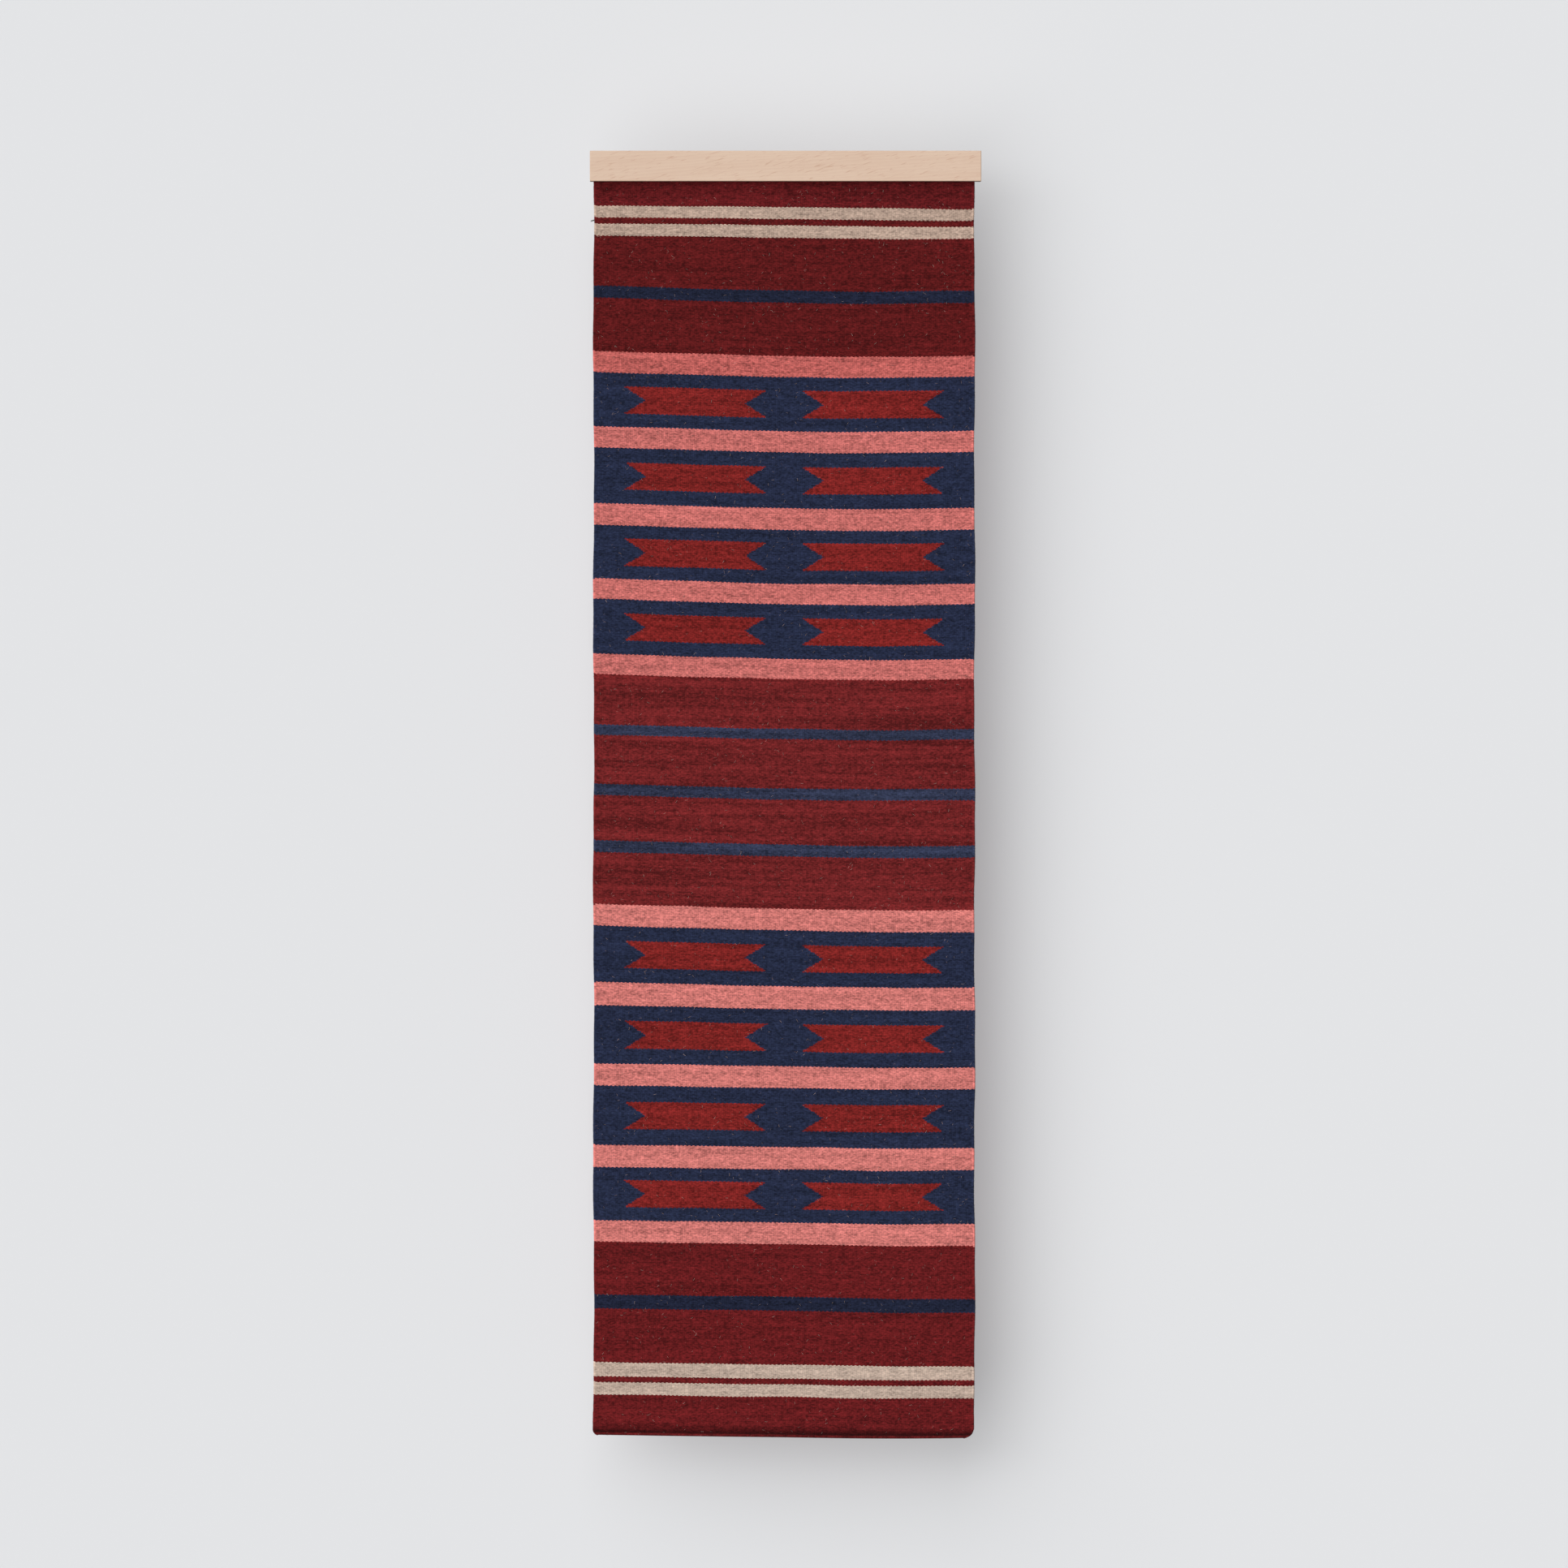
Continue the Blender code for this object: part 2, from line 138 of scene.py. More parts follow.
# Soft creases left by folding: depth below the boards, place across, half height, half width, rise.
CREASES = (
    (0.214, 0.03, 0.020, 0.17, 2.2 * MM),
    (0.245, -0.06, 0.016, 0.12, -1.4 * MM),
    (0.862, 0.16, 0.018, 0.13, 1.4 * MM),
    (1.236, -0.05, 0.022, 0.16, 1.2 * MM),
    (1.745, 0.08, 0.020, 0.14, 1.4 * MM),
)


def linear(hex_colour):
    """An sRGB hex colour as linear red, green and blue."""
    parts = [int(hex_colour[i : i + 2], 16) / 255 for i in (1, 3, 5)]
    return tuple(c / 12.92 if c <= 0.04045 else ((c + 0.055) / 1.055) ** 2.4 for c in parts)


def colour_choice(name, description, hex_colour):
    """A colour that a user may change."""
    return FloatVectorProperty(
        name=name, description=description, default=linear(hex_colour), subtype="COLOR", min=0, max=1
    )


def length_choice(name, description, metres):
    """A length that a user may change."""
    return FloatProperty(
        name=name, description=description, default=metres, min=0, subtype="DISTANCE", precision=5
    )


# ---------- what a user may change
class YarnSettings(bpy.types.PropertyGroup):
    """Dyed yarns and the weave they are beaten into."""

    # Painted light: the topmost stripe is lighter than the wine below it, to cancel the shadow that the clamp
    # casts on it.
    first_wine_painted_light: colour_choice("First wine", "Topmost stripe", "#661B1E")
    wine: colour_choice("Wine", "Wine dye lot at the top", "#5E1819")
    madder: colour_choice("Madder", "Redder wine dye lot of the middle", "#702223")
    late_wine: colour_choice("Late wine", "Wine dye lot at the bottom", "#681B1D")
    natural: colour_choice("Natural", "Undyed grey-beige wool at the top", "#BBA292")
    pale_natural: colour_choice("Pale natural", "Undyed wool at the bottom", "#C2AC9D")
    navy: colour_choice("Navy", "Ground of the ribbon bands", "#252C44")
    deep_navy: colour_choice("Deep navy", "Narrow outer stripes", "#1F2438")
    faded_navy: colour_choice("Faded navy", "Narrow middle stripes", "#30364D")
    first_rose: colour_choice("First rose", "First rose stripe, a duller dye lot", "#C2635E")
    rose: colour_choice("Rose", "Rose stripes beside the upper ribbons", "#CB706B")
    late_rose: colour_choice("Late rose", "Rose stripes beside the lower ribbons", "#D37A74")
    brick: colour_choice("Brick", "Notched ribbons", "#7E2321")
    kemp: colour_choice("Kemp", "Coarse undyed hairs that stand out of the yarn", "#D2B4A8")
    warp_pitch: length_choice("Warp pitch", "Between neighbouring warps", 3.26 * MM)
    bead_height: length_choice("Bead height", "Of one turn of weft over a warp", 1.7 * MM)
    ribbon_place: length_choice("Ribbon place", "From the cloth's middle to a ribbon's", 139.5 * MM)
    ribbon_length: length_choice("Ribbon length", "Of a notched ribbon, tip to tip", 224 * MM)
    ribbon_height: length_choice("Ribbon height", "Of a notched ribbon", 43 * MM)
    ribbon_notch: length_choice("Ribbon notch", "Depth of the notch in each end", 34 * MM)


class DrapeSettings(bpy.types.PropertyGroup):
    """How the cloth hangs."""

    set_left: length_choice("Set left", "How far left of the clamp's middle the cloth was gripped", 2.3 * MM)
    spread: length_choice("Spread", "How far each edge spreads past the cloth's own width", 1.5 * MM)
    weft_lift: length_choice("Weft lift", "Scale of the weft's rises and falls", 1 * MM)
    ripple: length_choice("Ripple", "Height of the soft waves in the hanging cloth", 1.5 * MM)
    edge_waver: length_choice("Edge waver", "How far the edges wander sideways", 1.2 * MM)
    roll_radius: length_choice("Roll radius", "Where the hem starts to lean back", 11 * MM)
    tuck_radius: length_choice("Tuck radius", "Of the hem's tight lower roll", 2.7 * MM)
    left_corner: length_choice("Left corner", "Radius of the bottom left corner", 6 * MM)
    right_corner: length_choice("Right corner", "Radius of the bottom right corner", 17 * MM)


class DetailSettings(bpy.types.PropertyGroup):
    """Small pieces that repeat along the cloth."""

    wrap_pitch: length_choice("Wrap pitch", "Between the weft's turns round a selvedge", 2.6 * MM)
    stitch_pitch: length_choice("Stitch pitch", "Between the hem's whip stitches", 15 * MM)
    thread_diameter: length_choice("Thread", "Diameter of the hem's thread", 1.2 * MM)
    hair_count: IntProperty(name="Hairs", description="Kemp hairs on the whole cloth", default=7500, min=0)
    hair_length: length_choice("Hair length", "Of a kemp hair", 3.6 * MM)
    hair_thickness: length_choice("Hair thickness", "Of a kemp hair, drawn coarse", 0.28 * MM)
    tail_length: length_choice("Tail length", "Of the weft's loose end at the left edge", 7.5 * MM)


class ClampSettings(bpy.types.PropertyGroup):
    """Wood and metal of the clamp."""

    maple: colour_choice("Maple", "Pale wood between the growth lines", "#DDC2AC")
    maple_line: colour_choice("Maple line", "Growth lines and fine flecks", "#CDA992")
    beech: colour_choice("Beech", "Dowels", "#C9A27C")
    nickel: colour_choice("Nickel", "Plating of the magnets", "#BDB8AE")
    zinc: colour_choice("Zinc", "Plating of the keyhole plates and screws", "#B4B7BA")


class StageSettings(bpy.types.PropertyGroup):
    """Wall, floor and light."""

    wall: colour_choice("Wall", "Painted wall and floor", "#E4E5E7")
    stand_off: length_choice("Stand-off", "How far behind the hanging the wall stands", 0.13)
    key: FloatProperty(name="Key light", description="From the upper left", default=1.98, min=0)
    low: FloatProperty(name="Low light", description="From the left", default=1.56, min=0)
    fill: FloatProperty(name="Fill light", description="From the room all round", default=0.11, min=0)


# ---------- shared steps
def fill(node, inputs):
    """Gives inputs of a node a value, a socket, or another node for its first output."""
    for key, value in inputs.items():
        if isinstance(value, bpy.types.Node):
            value = value.outputs[0]
        if isinstance(value, bpy.types.NodeSocket):
            node.id_data.links.new(value, node.inputs[key])
        else:
            node.inputs[key].default_value = value


def add_node(tree, kind, inputs=None, **settings):
    """A new node in a tree, with its settings and inputs."""
    made = tree.nodes.new(kind)
    for name, value in settings.items():
        setattr(made, name, value)
    fill(made, inputs or {})
    return made


def new_material(name):
    """An empty material: the material, what adds a node to it, and its Principled shader."""
    material = bpy.data.materials.new(name)
    material.use_nodes = True
    return material, partial(add_node, material.node_tree), material.node_tree.nodes["Principled BSDF"]


def rgba(colour):
    """A colour setting with full opacity."""
    return (*colour, 1.0)


def new_piece(name, mesh, material=None):
    """A mesh as an object in the scene."""
    piece = bpy.data.objects.new(name, mesh)
    bpy.context.scene.collection.objects.link(piece)
    if material:
        mesh.materials.append(material)
    return piece


def wrapped_material(name):
    """A material made by an earlier operator."""
    if name not in bpy.data.materials:
        raise RuntimeError(f"{name} isn't there yet: weave the cloth first")
    return bpy.data.materials[name]


def new_tree(name, sizes):
    """A Geometry Nodes tree with a geometry input, named inputs and a geometry output: the tree,
    what adds a node to it, and its inputs' sockets."""
    tree = bpy.data.node_groups.new(name, "GeometryNodeTree")
    tree.interface.new_socket("Geometry", in_out="INPUT", socket_type="NodeSocketGeometry")
    for size, value in sizes.items():
        kind = "NodeSocketInt" if isinstance(value, int) else "NodeSocketFloat"
        kind = "NodeSocketMaterial" if isinstance(value, bpy.types.Material) else kind
        kind = "NodeSocketVector" if isinstance(value, Vector) else kind
        tree.interface.new_socket(size, in_out="INPUT", socket_type=kind)
    tree.interface.new_socket("Geometry", in_out="OUTPUT", socket_type="NodeSocketGeometry")
    return tree, partial(add_node, tree), add_node(tree, "NodeGroupInput").outputs


def end_tree(add, shape, material):
    """Makes the tree's instances real, gives them their material and ends it."""
    real = add("GeometryNodeRealizeInstances", {0: shape})
    finished = add("GeometryNodeSetMaterial", {"Geometry": real, "Material": material})
    add("NodeGroupOutput", {0: finished})


def grow(name, base, tree, sizes):
    """A piece that the tree grows on a base mesh, as a plain mesh."""
    piece = new_piece(name, base)
    modifier = piece.modifiers.new(name, "NODES")
    modifier.node_group = tree
    for item in tree.interface.items_tree:
        if item.in_out == "INPUT" and item.name in sizes:
            modifier[item.identifier] = sizes[item.name]
    graph = bpy.context.evaluated_depsgraph_get()
    grown = bpy.data.meshes.new_from_object(
        piece.evaluated_get(graph), preserve_all_data_layers=True, depsgraph=graph
    )
    piece.modifiers.clear()
    piece.data = grown
    if not grown.polygons:
        raise RuntimeError(f"{name} came out empty")
    return piece


def smooth_step(value, start, end):
    """0 before start, 1 after end, and smooth between."""
    share = np.clip((value - start) / (end - start), 0, 1)
    return share * share * (3 - 2 * share)


# ---------- the hanging cloth's shape
def trace(stretches):
    """Follows stretches of (length, turn at the end): where they end, and fine points of y, fall and turn."""
    ends = np.cumsum([0.0] + [length for length, _ in stretches])
    turns = [0.0] + [turn for _, turn in stretches]
    fine = np.linspace(0, ends[-1], 30001)
    turn = np.interp(fine, ends, turns)
    middle = (turn[1:] + turn[:-1]) / 2
    back = np.concatenate([[0], np.cumsum(np.sin(middle))]) * fine[1]
    fall = np.concatenate([[0], np.cumsum(np.cos(middle))]) * fine[1]
    return ends, turns, fine, back, fall


def fall_line(drape):
    """The cloth's middle line from its top edge, down, and round the rolled hem.

    Gives rows of woven length below the boards, y, z and turn, which is 0 where the cloth
    hangs straight and grows as the hem rolls back and up.
    """
    half_turn = math.pi + HEM_TUCK
    ease = 8 * MM
    roll = [
        (drape.roll_radius * HEM_LEAN, HEM_LEAN),
        (CREASE_RADIUS * (HEM_LEAN - HEM_LIP), HEM_LIP),
        (drape.tuck_radius * (half_turn - HEM_LIP), half_turn),
    ]
    _, _, _, back, fall = trace(roll)
    slope = (back[-1] + CLOTH_Y - HEM_Y - ease * (1 - math.cos(HEM_TUCK))) / math.sin(HEM_TUCK)
    roll += [(slope, half_turn), (ease * HEM_TUCK, math.pi)]
    _, _, _, back, fall = trace(roll)
    lowest = fall.max()
    straight = GRIPPED + DROP - HALF_THICKNESS - lowest
    rest = HEM_TOP - (HEADING_HIGH.z - straight - fall[-1])
    stretches = [(straight, 0.0), *roll, (rest, math.pi)]
    ends, turns, fine, back, fall = trace(stretches)
    rows = [0.0]
    for start, end, step in zip(ends[:-1], ends[1:], ROW_STEPS):
        rows += list(np.linspace(start, end, math.ceil((end - start) / step) + 1)[1:])
    rows = np.array(rows)
    return (
        rows - GRIPPED,
        CLOTH_Y + np.interp(rows, fine, back),
        HEADING_HIGH.z - np.interp(rows, fine, fall),
        np.interp(rows, ends, turns),
    )


def weft_lift(across, depth, drape):
    """How far a weft row lies above its level at the cloth's middle, where it sags a little to the right."""
    share = across / HALF_WIDTH
    left = np.interp(depth, *zip(*LEFT_LIFTS)) * np.clip(-share, 0, None) ** 1.1
    right = np.interp(depth, *zip(*RIGHT_LIFTS)) * np.clip(share, 0, None) ** 1.5
    sag = -1.6 * smooth_step(depth, 0.0, EASE_DEPTH) * np.sin(math.pi * np.clip(share, 0, 1))
    return drape.weft_lift * (left + right + sag)


def soft_waves(x, depth, drape):
    """How far the cloth stands in or out of its plane."""
    waves = 0.5 * np.sin(TURN * (depth / 0.27 + 0.3 * np.sin(TURN * (x / 0.8 + 0.1))))
    waves += 0.35 * np.sin(TURN * (x / 0.34 + depth / 1.1 + 0.2))
    waves += 0.25 * np.sin(TURN * (depth / 0.121 + x / 0.5))
    out = -drape.ripple * waves
    for down, place, tall, wide, rise in CREASES:
        out -= rise * np.exp(-(((depth - down) / tall) ** 2) - ((x - place) / wide) ** 2)
    return out * smooth_step(depth, 0.005, EASE_DEPTH)


def edge_waver(across, depth, drape):
    """How far a point is carried sideways by the wandering edges."""
    left = np.sin(TURN * (depth / 0.43 + 0.15)) + 0.5 * np.sin(TURN * (depth / 0.122 + 0.6))
    right = np.sin(TURN * (depth / 0.37 + 0.55)) + 0.5 * np.sin(TURN * (depth / 0.118 + 0.2))
    share = (across / HALF_WIDTH + 1) / 2
    fade = smooth_step(depth, 0.0, 0.06)
    return drape.edge_waver * fade * ((1 - share) * left + share * right) / 1.5


def corner_inset(across, height, drape):
    """How far a point is drawn in by the rounded bottom corners, by its height above the bottom."""
    radius = np.where(across < 0, drape.left_corner, drape.right_corner)
    below = np.clip(radius - height, 0, radius)
    inset = radius - np.sqrt(radius**2 - below**2)
    return -np.sign(across) * inset * np.abs(across / HALF_WIDTH) ** 8


def hang(across, woven, y, z, drape):
    """Where points of the flat cloth come to lie, and where they are in the weave."""
    depth = CLAMP_Z - z
    lift = weft_lift(across, depth, drape)
    bottom = CLAMP_Z - DROP + HALF_THICKNESS
    x = across * (1 + drape.spread / HALF_WIDTH) - drape.set_left
    x = x + edge_waver(across, depth, drape) + corner_inset(across, z - bottom, drape)
    place = np.stack([x, y + soft_waves(x, depth, drape), z + lift], axis=-1)
    weave = np.stack([across, woven, np.zeros_like(lift)], axis=-1)
    return place, weave


def set_attribute(mesh, name, values):
    """A vector for each point of a mesh."""
    made = mesh.attributes.new(name, "FLOAT_VECTOR", "POINT")
    made.data.foreach_set("vector", np.asarray(values, np.float32).ravel())


def cloth_mesh(drape):
    """The cloth as one closed sheet, with both faces and its four edges."""
    woven, y, z, turn = fall_line(drape)
    columns = 97
    across = np.linspace(-CORD_PLACE, CORD_PLACE, columns)
    grid_across = np.broadcast_to(across, (len(woven), columns))
    faces_of_cloth = []
    for side in (1, -1):
        # The outer face is in front where the cloth hangs, and below where the hem rolls back.
        face_y = y - side * HALF_THICKNESS * np.cos(turn)
        face_z = z - side * HALF_THICKNESS * np.sin(turn)
        rows = [np.broadcast_to(row[:, None], grid_across.shape) for row in (woven, face_y, face_z)]
        faces_of_cloth.append(hang(grid_across, *rows, drape))
    place = np.concatenate([face[0].reshape(-1, 3) for face in faces_of_cloth])
    weave = np.concatenate([face[1].reshape(-1, 3) for face in faces_of_cloth])

    front = np.arange(len(woven) * columns).reshape(len(woven), columns)
    back = front + front.size
    quads = [
        np.stack([front[1:, :-1], front[1:, 1:], front[:-1, 1:], front[:-1, :-1]], -1),
        np.stack([back[:-1, :-1], back[:-1, 1:], back[1:, 1:], back[1:, :-1]], -1),
        np.stack([front[:-1, 0], back[:-1, 0], back[1:, 0], front[1:, 0]], -1),
        np.stack([front[:-1, -1], front[1:, -1], back[1:, -1], back[:-1, -1]], -1),
        np.stack([front[0, :-1], front[0, 1:], back[0, 1:], back[0, :-1]], -1),
        np.stack([front[-1, :-1], back[-1, :-1], back[-1, 1:], front[-1, 1:]], -1),
    ]
    mesh = bpy.data.meshes.new("woven_cloth")
    mesh.from_pydata(place.tolist(), [], np.concatenate([q.reshape(-1, 4) for q in quads]).tolist())
    mesh.shade_smooth()
    mesh.set_sharp_from_angle(angle=math.radians(60))
    set_attribute(mesh, "weave", weave)
    return mesh


def line_mesh(name, points, weave=None, lay=None):
    """A line of edges through points, for a tree to follow."""
    mesh = bpy.data.meshes.new(name)
    mesh.from_pydata(points.tolist(), [(i, i + 1) for i in range(len(points) - 1)], [])
    if weave is not None:
        set_attribute(mesh, "weave", weave)
    if lay is not None:
        set_attribute(mesh, "lay", lay)
    return mesh


# ---------- wool
def stripe_colours(add, row, yarns):
    """The draft's colours: each stripe laid over the one above it, from its first row down."""
    colour = rgba(getattr(yarns, DRAFT[0][0]))
    for (yarn, _), top in zip(DRAFT[1:], STRIPE_ENDS):
        below = add("ShaderNodeMath", {0: row, 1: top}, operation="GREATER_THAN")
        stripe = rgba(getattr(yarns, yarn))
        colour = add("ShaderNodeMix", {"Factor": below, 6: colour, 7: stripe}, data_type="RGBA").outputs[2]
    return colour


def ribbon_rows(add, row, yarns):
    """How far a row is from the middle row of the nearest ribbon, at most half a ribbon's height."""
    nearest = yarns.ribbon_height / 2
    for (yarn, height), end in zip(DRAFT, STRIPE_ENDS):
        if yarn == RIBBON_GROUND:
            middle = end - height * MM / 2
            off = add("ShaderNodeMath", {0: row, 1: middle}, operation="SUBTRACT")
            away = add("ShaderNodeMath", {0: off}, operation="ABSOLUTE")
            nearest = add("ShaderNodeMath", {0: away, 1: nearest}, operation="MINIMUM")
    return nearest


def painted_hem_crease_shade(add, woven, drape):
    """Painted shade on the hem: more and more as it rolls back to its crease, and none below that."""
    rows, _, _, turn = fall_line(drape)
    start = rows[np.argmax(turn > 0)]
    crease = start + drape.roll_radius * HEM_LEAN
    rise = {"Value": woven, "From Min": start - 6 * MM, "From Max": crease - 3 * MM, "To Max": 0.64}
    into = add("ShaderNodeMapRange", rise)
    drop = {"Value": woven, "From Min": crease - 2 * MM, "From Max": crease + 2 * MM, "To Min": 1, "To Max": 0}
    out = add("ShaderNodeMapRange", drop, interpolation_type="SMOOTHSTEP")
    return add("ShaderNodeMath", {0: into, 1: out}, operation="MULTIPLY")


def dark_slub(add, weave):
    """How dark a thick soft length of darker yarn makes the cloth, in a slanting patch 30 mm long."""
    place = weave.outputs["Vector"]
    placed = add("ShaderNodeVectorMath", {0: place, 1: (*DARK_SLUB, 0.0)}, operation="SUBTRACT")
    turned = add("ShaderNodeMapping", {0: placed, "Rotation": (0.0, 0.0, math.radians(20))})
    sized = add("ShaderNodeMapping", {0: turned, "Scale": (60.0, 170.0, 0.0)})
    away = add("ShaderNodeVectorMath", {0: sized}, operation="LENGTH").outputs["Value"]
    fall = {"Value": away, "From Min": 0.3, "From Max": 1.3, "To Min": 0.32, "To Max": 0.0}
    return add("ShaderNodeMapRange", fall, interpolation_type="SMOOTHSTEP")


def handwoven_wool(yarns, drape):
    """Handwoven wool, weft-faced and lightly felted: round beads of weft hide the warps, so stripes
    and ribbons have stepped edges, dye lots show as streaks, and the pile scatters light softly."""
    material, add, shader = new_material("Handwoven wool")
    weave = add("ShaderNodeAttribute", attribute_name="weave")
    part = add("ShaderNodeSeparateXYZ", {0: weave.outputs["Vector"]})
    across, woven = part.outputs["X"], part.outputs["Y"]

    # Each bead is one turn of weft over one warp; beads of neighbouring warps lie half a bead apart.
    warps = add("ShaderNodeMath", {0: across, 1: yarns.warp_pitch}, operation="DIVIDE")
    warp = add("ShaderNodeMath", {0: warps}, operation="FLOOR")
    odd = add("ShaderNodeMath", {0: warp, 1: 2.0}, operation="FLOORED_MODULO")
    half_bead = add("ShaderNodeMath", {0: odd, 1: 0.5}, operation="MULTIPLY")
    wander = add("ShaderNodeTexNoise", {"Vector": weave.outputs["Vector"], "Scale": 9.0, "Detail": 1.0})
    wandered = add("ShaderNodeMath", {0: wander, 1: 3 * MM, 2: -1.5 * MM}, operation="MULTIPLY_ADD")
    row = add("ShaderNodeMath", {0: woven, 1: wandered}, operation="ADD")
    beads = add("ShaderNodeMath", {0: row, 1: 1 / yarns.bead_height, 2: half_bead}, operation="MULTIPLY_ADD")
    bead = add("ShaderNodeMath", {0: beads}, operation="FLOOR")
    centre = add("ShaderNodeMath", {0: bead, 1: half_bead}, operation="SUBTRACT")
    high, wide = yarns.bead_height, yarns.warp_pitch
    bead_row = add("ShaderNodeMath", {0: centre, 1: high, 2: high / 2}, operation="MULTIPLY_ADD")
    bead_across = add("ShaderNodeMath", {0: warp, 1: wide, 2: wide / 2}, operation="MULTIPLY_ADD")

    stripe = stripe_colours(add, bead_row, yarns)

    # A ribbon ends in a notch that is deepest at its middle row and shallowest at its edges.
    half_height = yarns.ribbon_height / 2
    notch = yarns.ribbon_notch
    shortest = yarns.ribbon_length / 2 - notch
    from_row = ribbon_rows(add, bead_row, yarns)
    reach = add("ShaderNodeMath", {0: from_row, 1: notch / half_height, 2: shortest}, operation="MULTIPLY_ADD")
    from_middle = add("ShaderNodeMath", {0: bead_across}, operation="ABSOLUTE")
    from_centre = add("ShaderNodeMath", {0: from_middle, 1: yarns.ribbon_place}, operation="SUBTRACT")
    along_ribbon = add("ShaderNodeMath", {0: from_centre}, operation="ABSOLUTE")
    in_length = add("ShaderNodeMath", {0: along_ribbon, 1: reach}, operation="LESS_THAN")
    in_height = add("ShaderNodeMath", {0: from_row, 1: 0.999 * half_height}, operation="LESS_THAN")
    in_ribbon = add("ShaderNodeMath", {0: in_length, 1: in_height}, operation="MULTIPLY")
    yarn = add("ShaderNodeMix", {"Factor": in_ribbon, 6: stripe, 7: rgba(yarns.brick)}, data_type="RGBA")

    # Dye lots show as long streaks along the weft, most in the madder stripes; hand-spun thickness
    # and felting show as pebbles 4 mm by 2.5 mm, and each bead differs a little.
    middle, half = (MADDER_TOP + MADDER_BOTTOM) / 2, (MADDER_BOTTOM - MADDER_TOP) / 2
    in_madder = add("ShaderNodeMath", {0: bead_row, 1: middle, 2: half}, operation="COMPARE")
    streak = add("ShaderNodeMapRange", {"Value": in_madder, "To Min": 0.45, "To Max": 1.0})
    threads = weave_noise(add, weave, (7.0, 420.0), 1.0)
    patches = weave_noise(add, weave, (60.0, 130.0), 2.0)
    pebbles = weave_noise(add, weave, (200.0, 430.0), 1.0)
    which = add("ShaderNodeCombineXYZ", {0: warp, 1: bead})
    chance = add("ShaderNodeTexWhiteNoise", {"Vector": which}, noise_dimensions="2D")
    streaks = weave_noise(add, weave, (2.6, 85.0), 3.0)
    tone = add("ShaderNodeMath", {0: streaks, 1: 1.1, 2: -0.55}, operation="MULTIPLY_ADD")
    tone = add("ShaderNodeMath", {0: tone, 1: streak}, operation="MULTIPLY")
    for variation, amount in ((threads, 0.35), (patches, 0.8), (pebbles, 1.2), (chance, 0.25)):
        centred = add("ShaderNodeMath", {0: variation, 1: 0.5}, operation="SUBTRACT")
        tone = add("ShaderNodeMath", {0: centred, 1: amount, 2: tone}, operation="MULTIPLY_ADD")
    # Pale wool is spun from more even fleece than dyed wool.
    channels = add("ShaderNodeSeparateColor", {0: yarn.outputs[2]})
    paleness = {"Value": channels.outputs["Blue"], "From Max": 0.35, "To Min": 1.3, "To Max": 0.72}
    uneven = add("ShaderNodeMapRange", paleness)
    tone = add("ShaderNodeMath", {0: tone, 1: uneven}, operation="MULTIPLY")

    # Round beads, with painted shade that makes them darkest in the valleys between them.
    swells = []
    for count in (warps, beads):
        angle = add("ShaderNodeMath", {0: count, 1: math.pi}, operation="MULTIPLY")
        swells.append(add("ShaderNodeMath", {0: angle}, operation="SINE"))
    swell = add("ShaderNodeMath", {0: swells[0], 1: swells[1]}, operation="MULTIPLY")
    dome = add("ShaderNodeMath", {0: swell}, operation="ABSOLUTE")
    tone = add("ShaderNodeMath", {0: dome, 1: 0.22, 2: tone}, operation="MULTIPLY_ADD")
    # Painted highlight: the wrapped selvedges are painted brighter than the field, as if they catch the light.
    tone = add("ShaderNodeMath", {0: part.outputs["Z"], 1: 0.3, 2: tone}, operation="MULTIPLY_ADD")
    gain = add("ShaderNodeMath", {0: tone, 1: 0.9}, operation="ADD")
    gain = add("ShaderNodeMath", {0: gain, 1: 0.5}, operation="MAXIMUM")
    # Painted shade darkens the hem as it rolls back to its crease, and a slub of darker wool darkens the cloth
    # near the top left corner.
    crease, slub = painted_hem_crease_shade(add, woven, drape), dark_slub(add, weave)
    crease_shade_and_slub = add("ShaderNodeMath", {0: crease, 1: slub}, operation="ADD")
    left_by_shade_and_slub = add("ShaderNodeMath", {0: 1.0, 1: crease_shade_and_slub}, operation="SUBTRACT")
    gain = add("ShaderNodeMath", {0: gain, 1: left_by_shade_and_slub}, operation="MULTIPLY")
    toned = add("ShaderNodeVectorMath", {0: yarn.outputs[2], "Scale": gain}, operation="SCALE")

    relief = add("ShaderNodeMath", {0: pebbles, 1: 2.2, 2: dome}, operation="MULTIPLY_ADD")
    bump = add("ShaderNodeBump", {"Strength": 0.8, "Distance": 0.45 * MM, "Height": relief})
    fill(shader, {"Base Color": toned, "Normal": bump, "Roughness": 0.92, "Specular IOR Level": 0.06})
    fill(shader, {"IOR": 1.5, "Sheen Weight": 0.06, "Sheen Roughness": 0.5})
    return material


def weave_noise(add, weave, scale, detail):
    """Noise stretched in the weave, by its scale across and down."""
    place = weave.outputs["Vector"]
    stretched = add("ShaderNodeVectorMath", {0: place, 1: (*scale, 0.0)}, operation="MULTIPLY")
    noise = {"Vector": stretched, "Scale": 1.0, "Detail": detail}
    return add("ShaderNodeTexNoise", noise, noise_dimensions="2D")


def kemp_hair(yarns):
    """Kemp, the coarse hair in hill sheep's wool: chalky and pale because dye hardly takes, so it
    catches the eye as short light flecks."""
    material, add, shader = new_material("Kemp hair")
    shade = add("ShaderNodeAttribute", attribute_name="shade").outputs["Fac"]
    dark = tuple(0.35 * channel for channel in yarns.kemp)
    colour = add("ShaderNodeMix", {"Factor": shade, 6: rgba(dark), 7: rgba(yarns.kemp)}, data_type="RGBA")
    fill(shader, {"Base Color": colour.outputs[2], "Roughness": 0.7, "Specular IOR Level": 0.3})
    return material


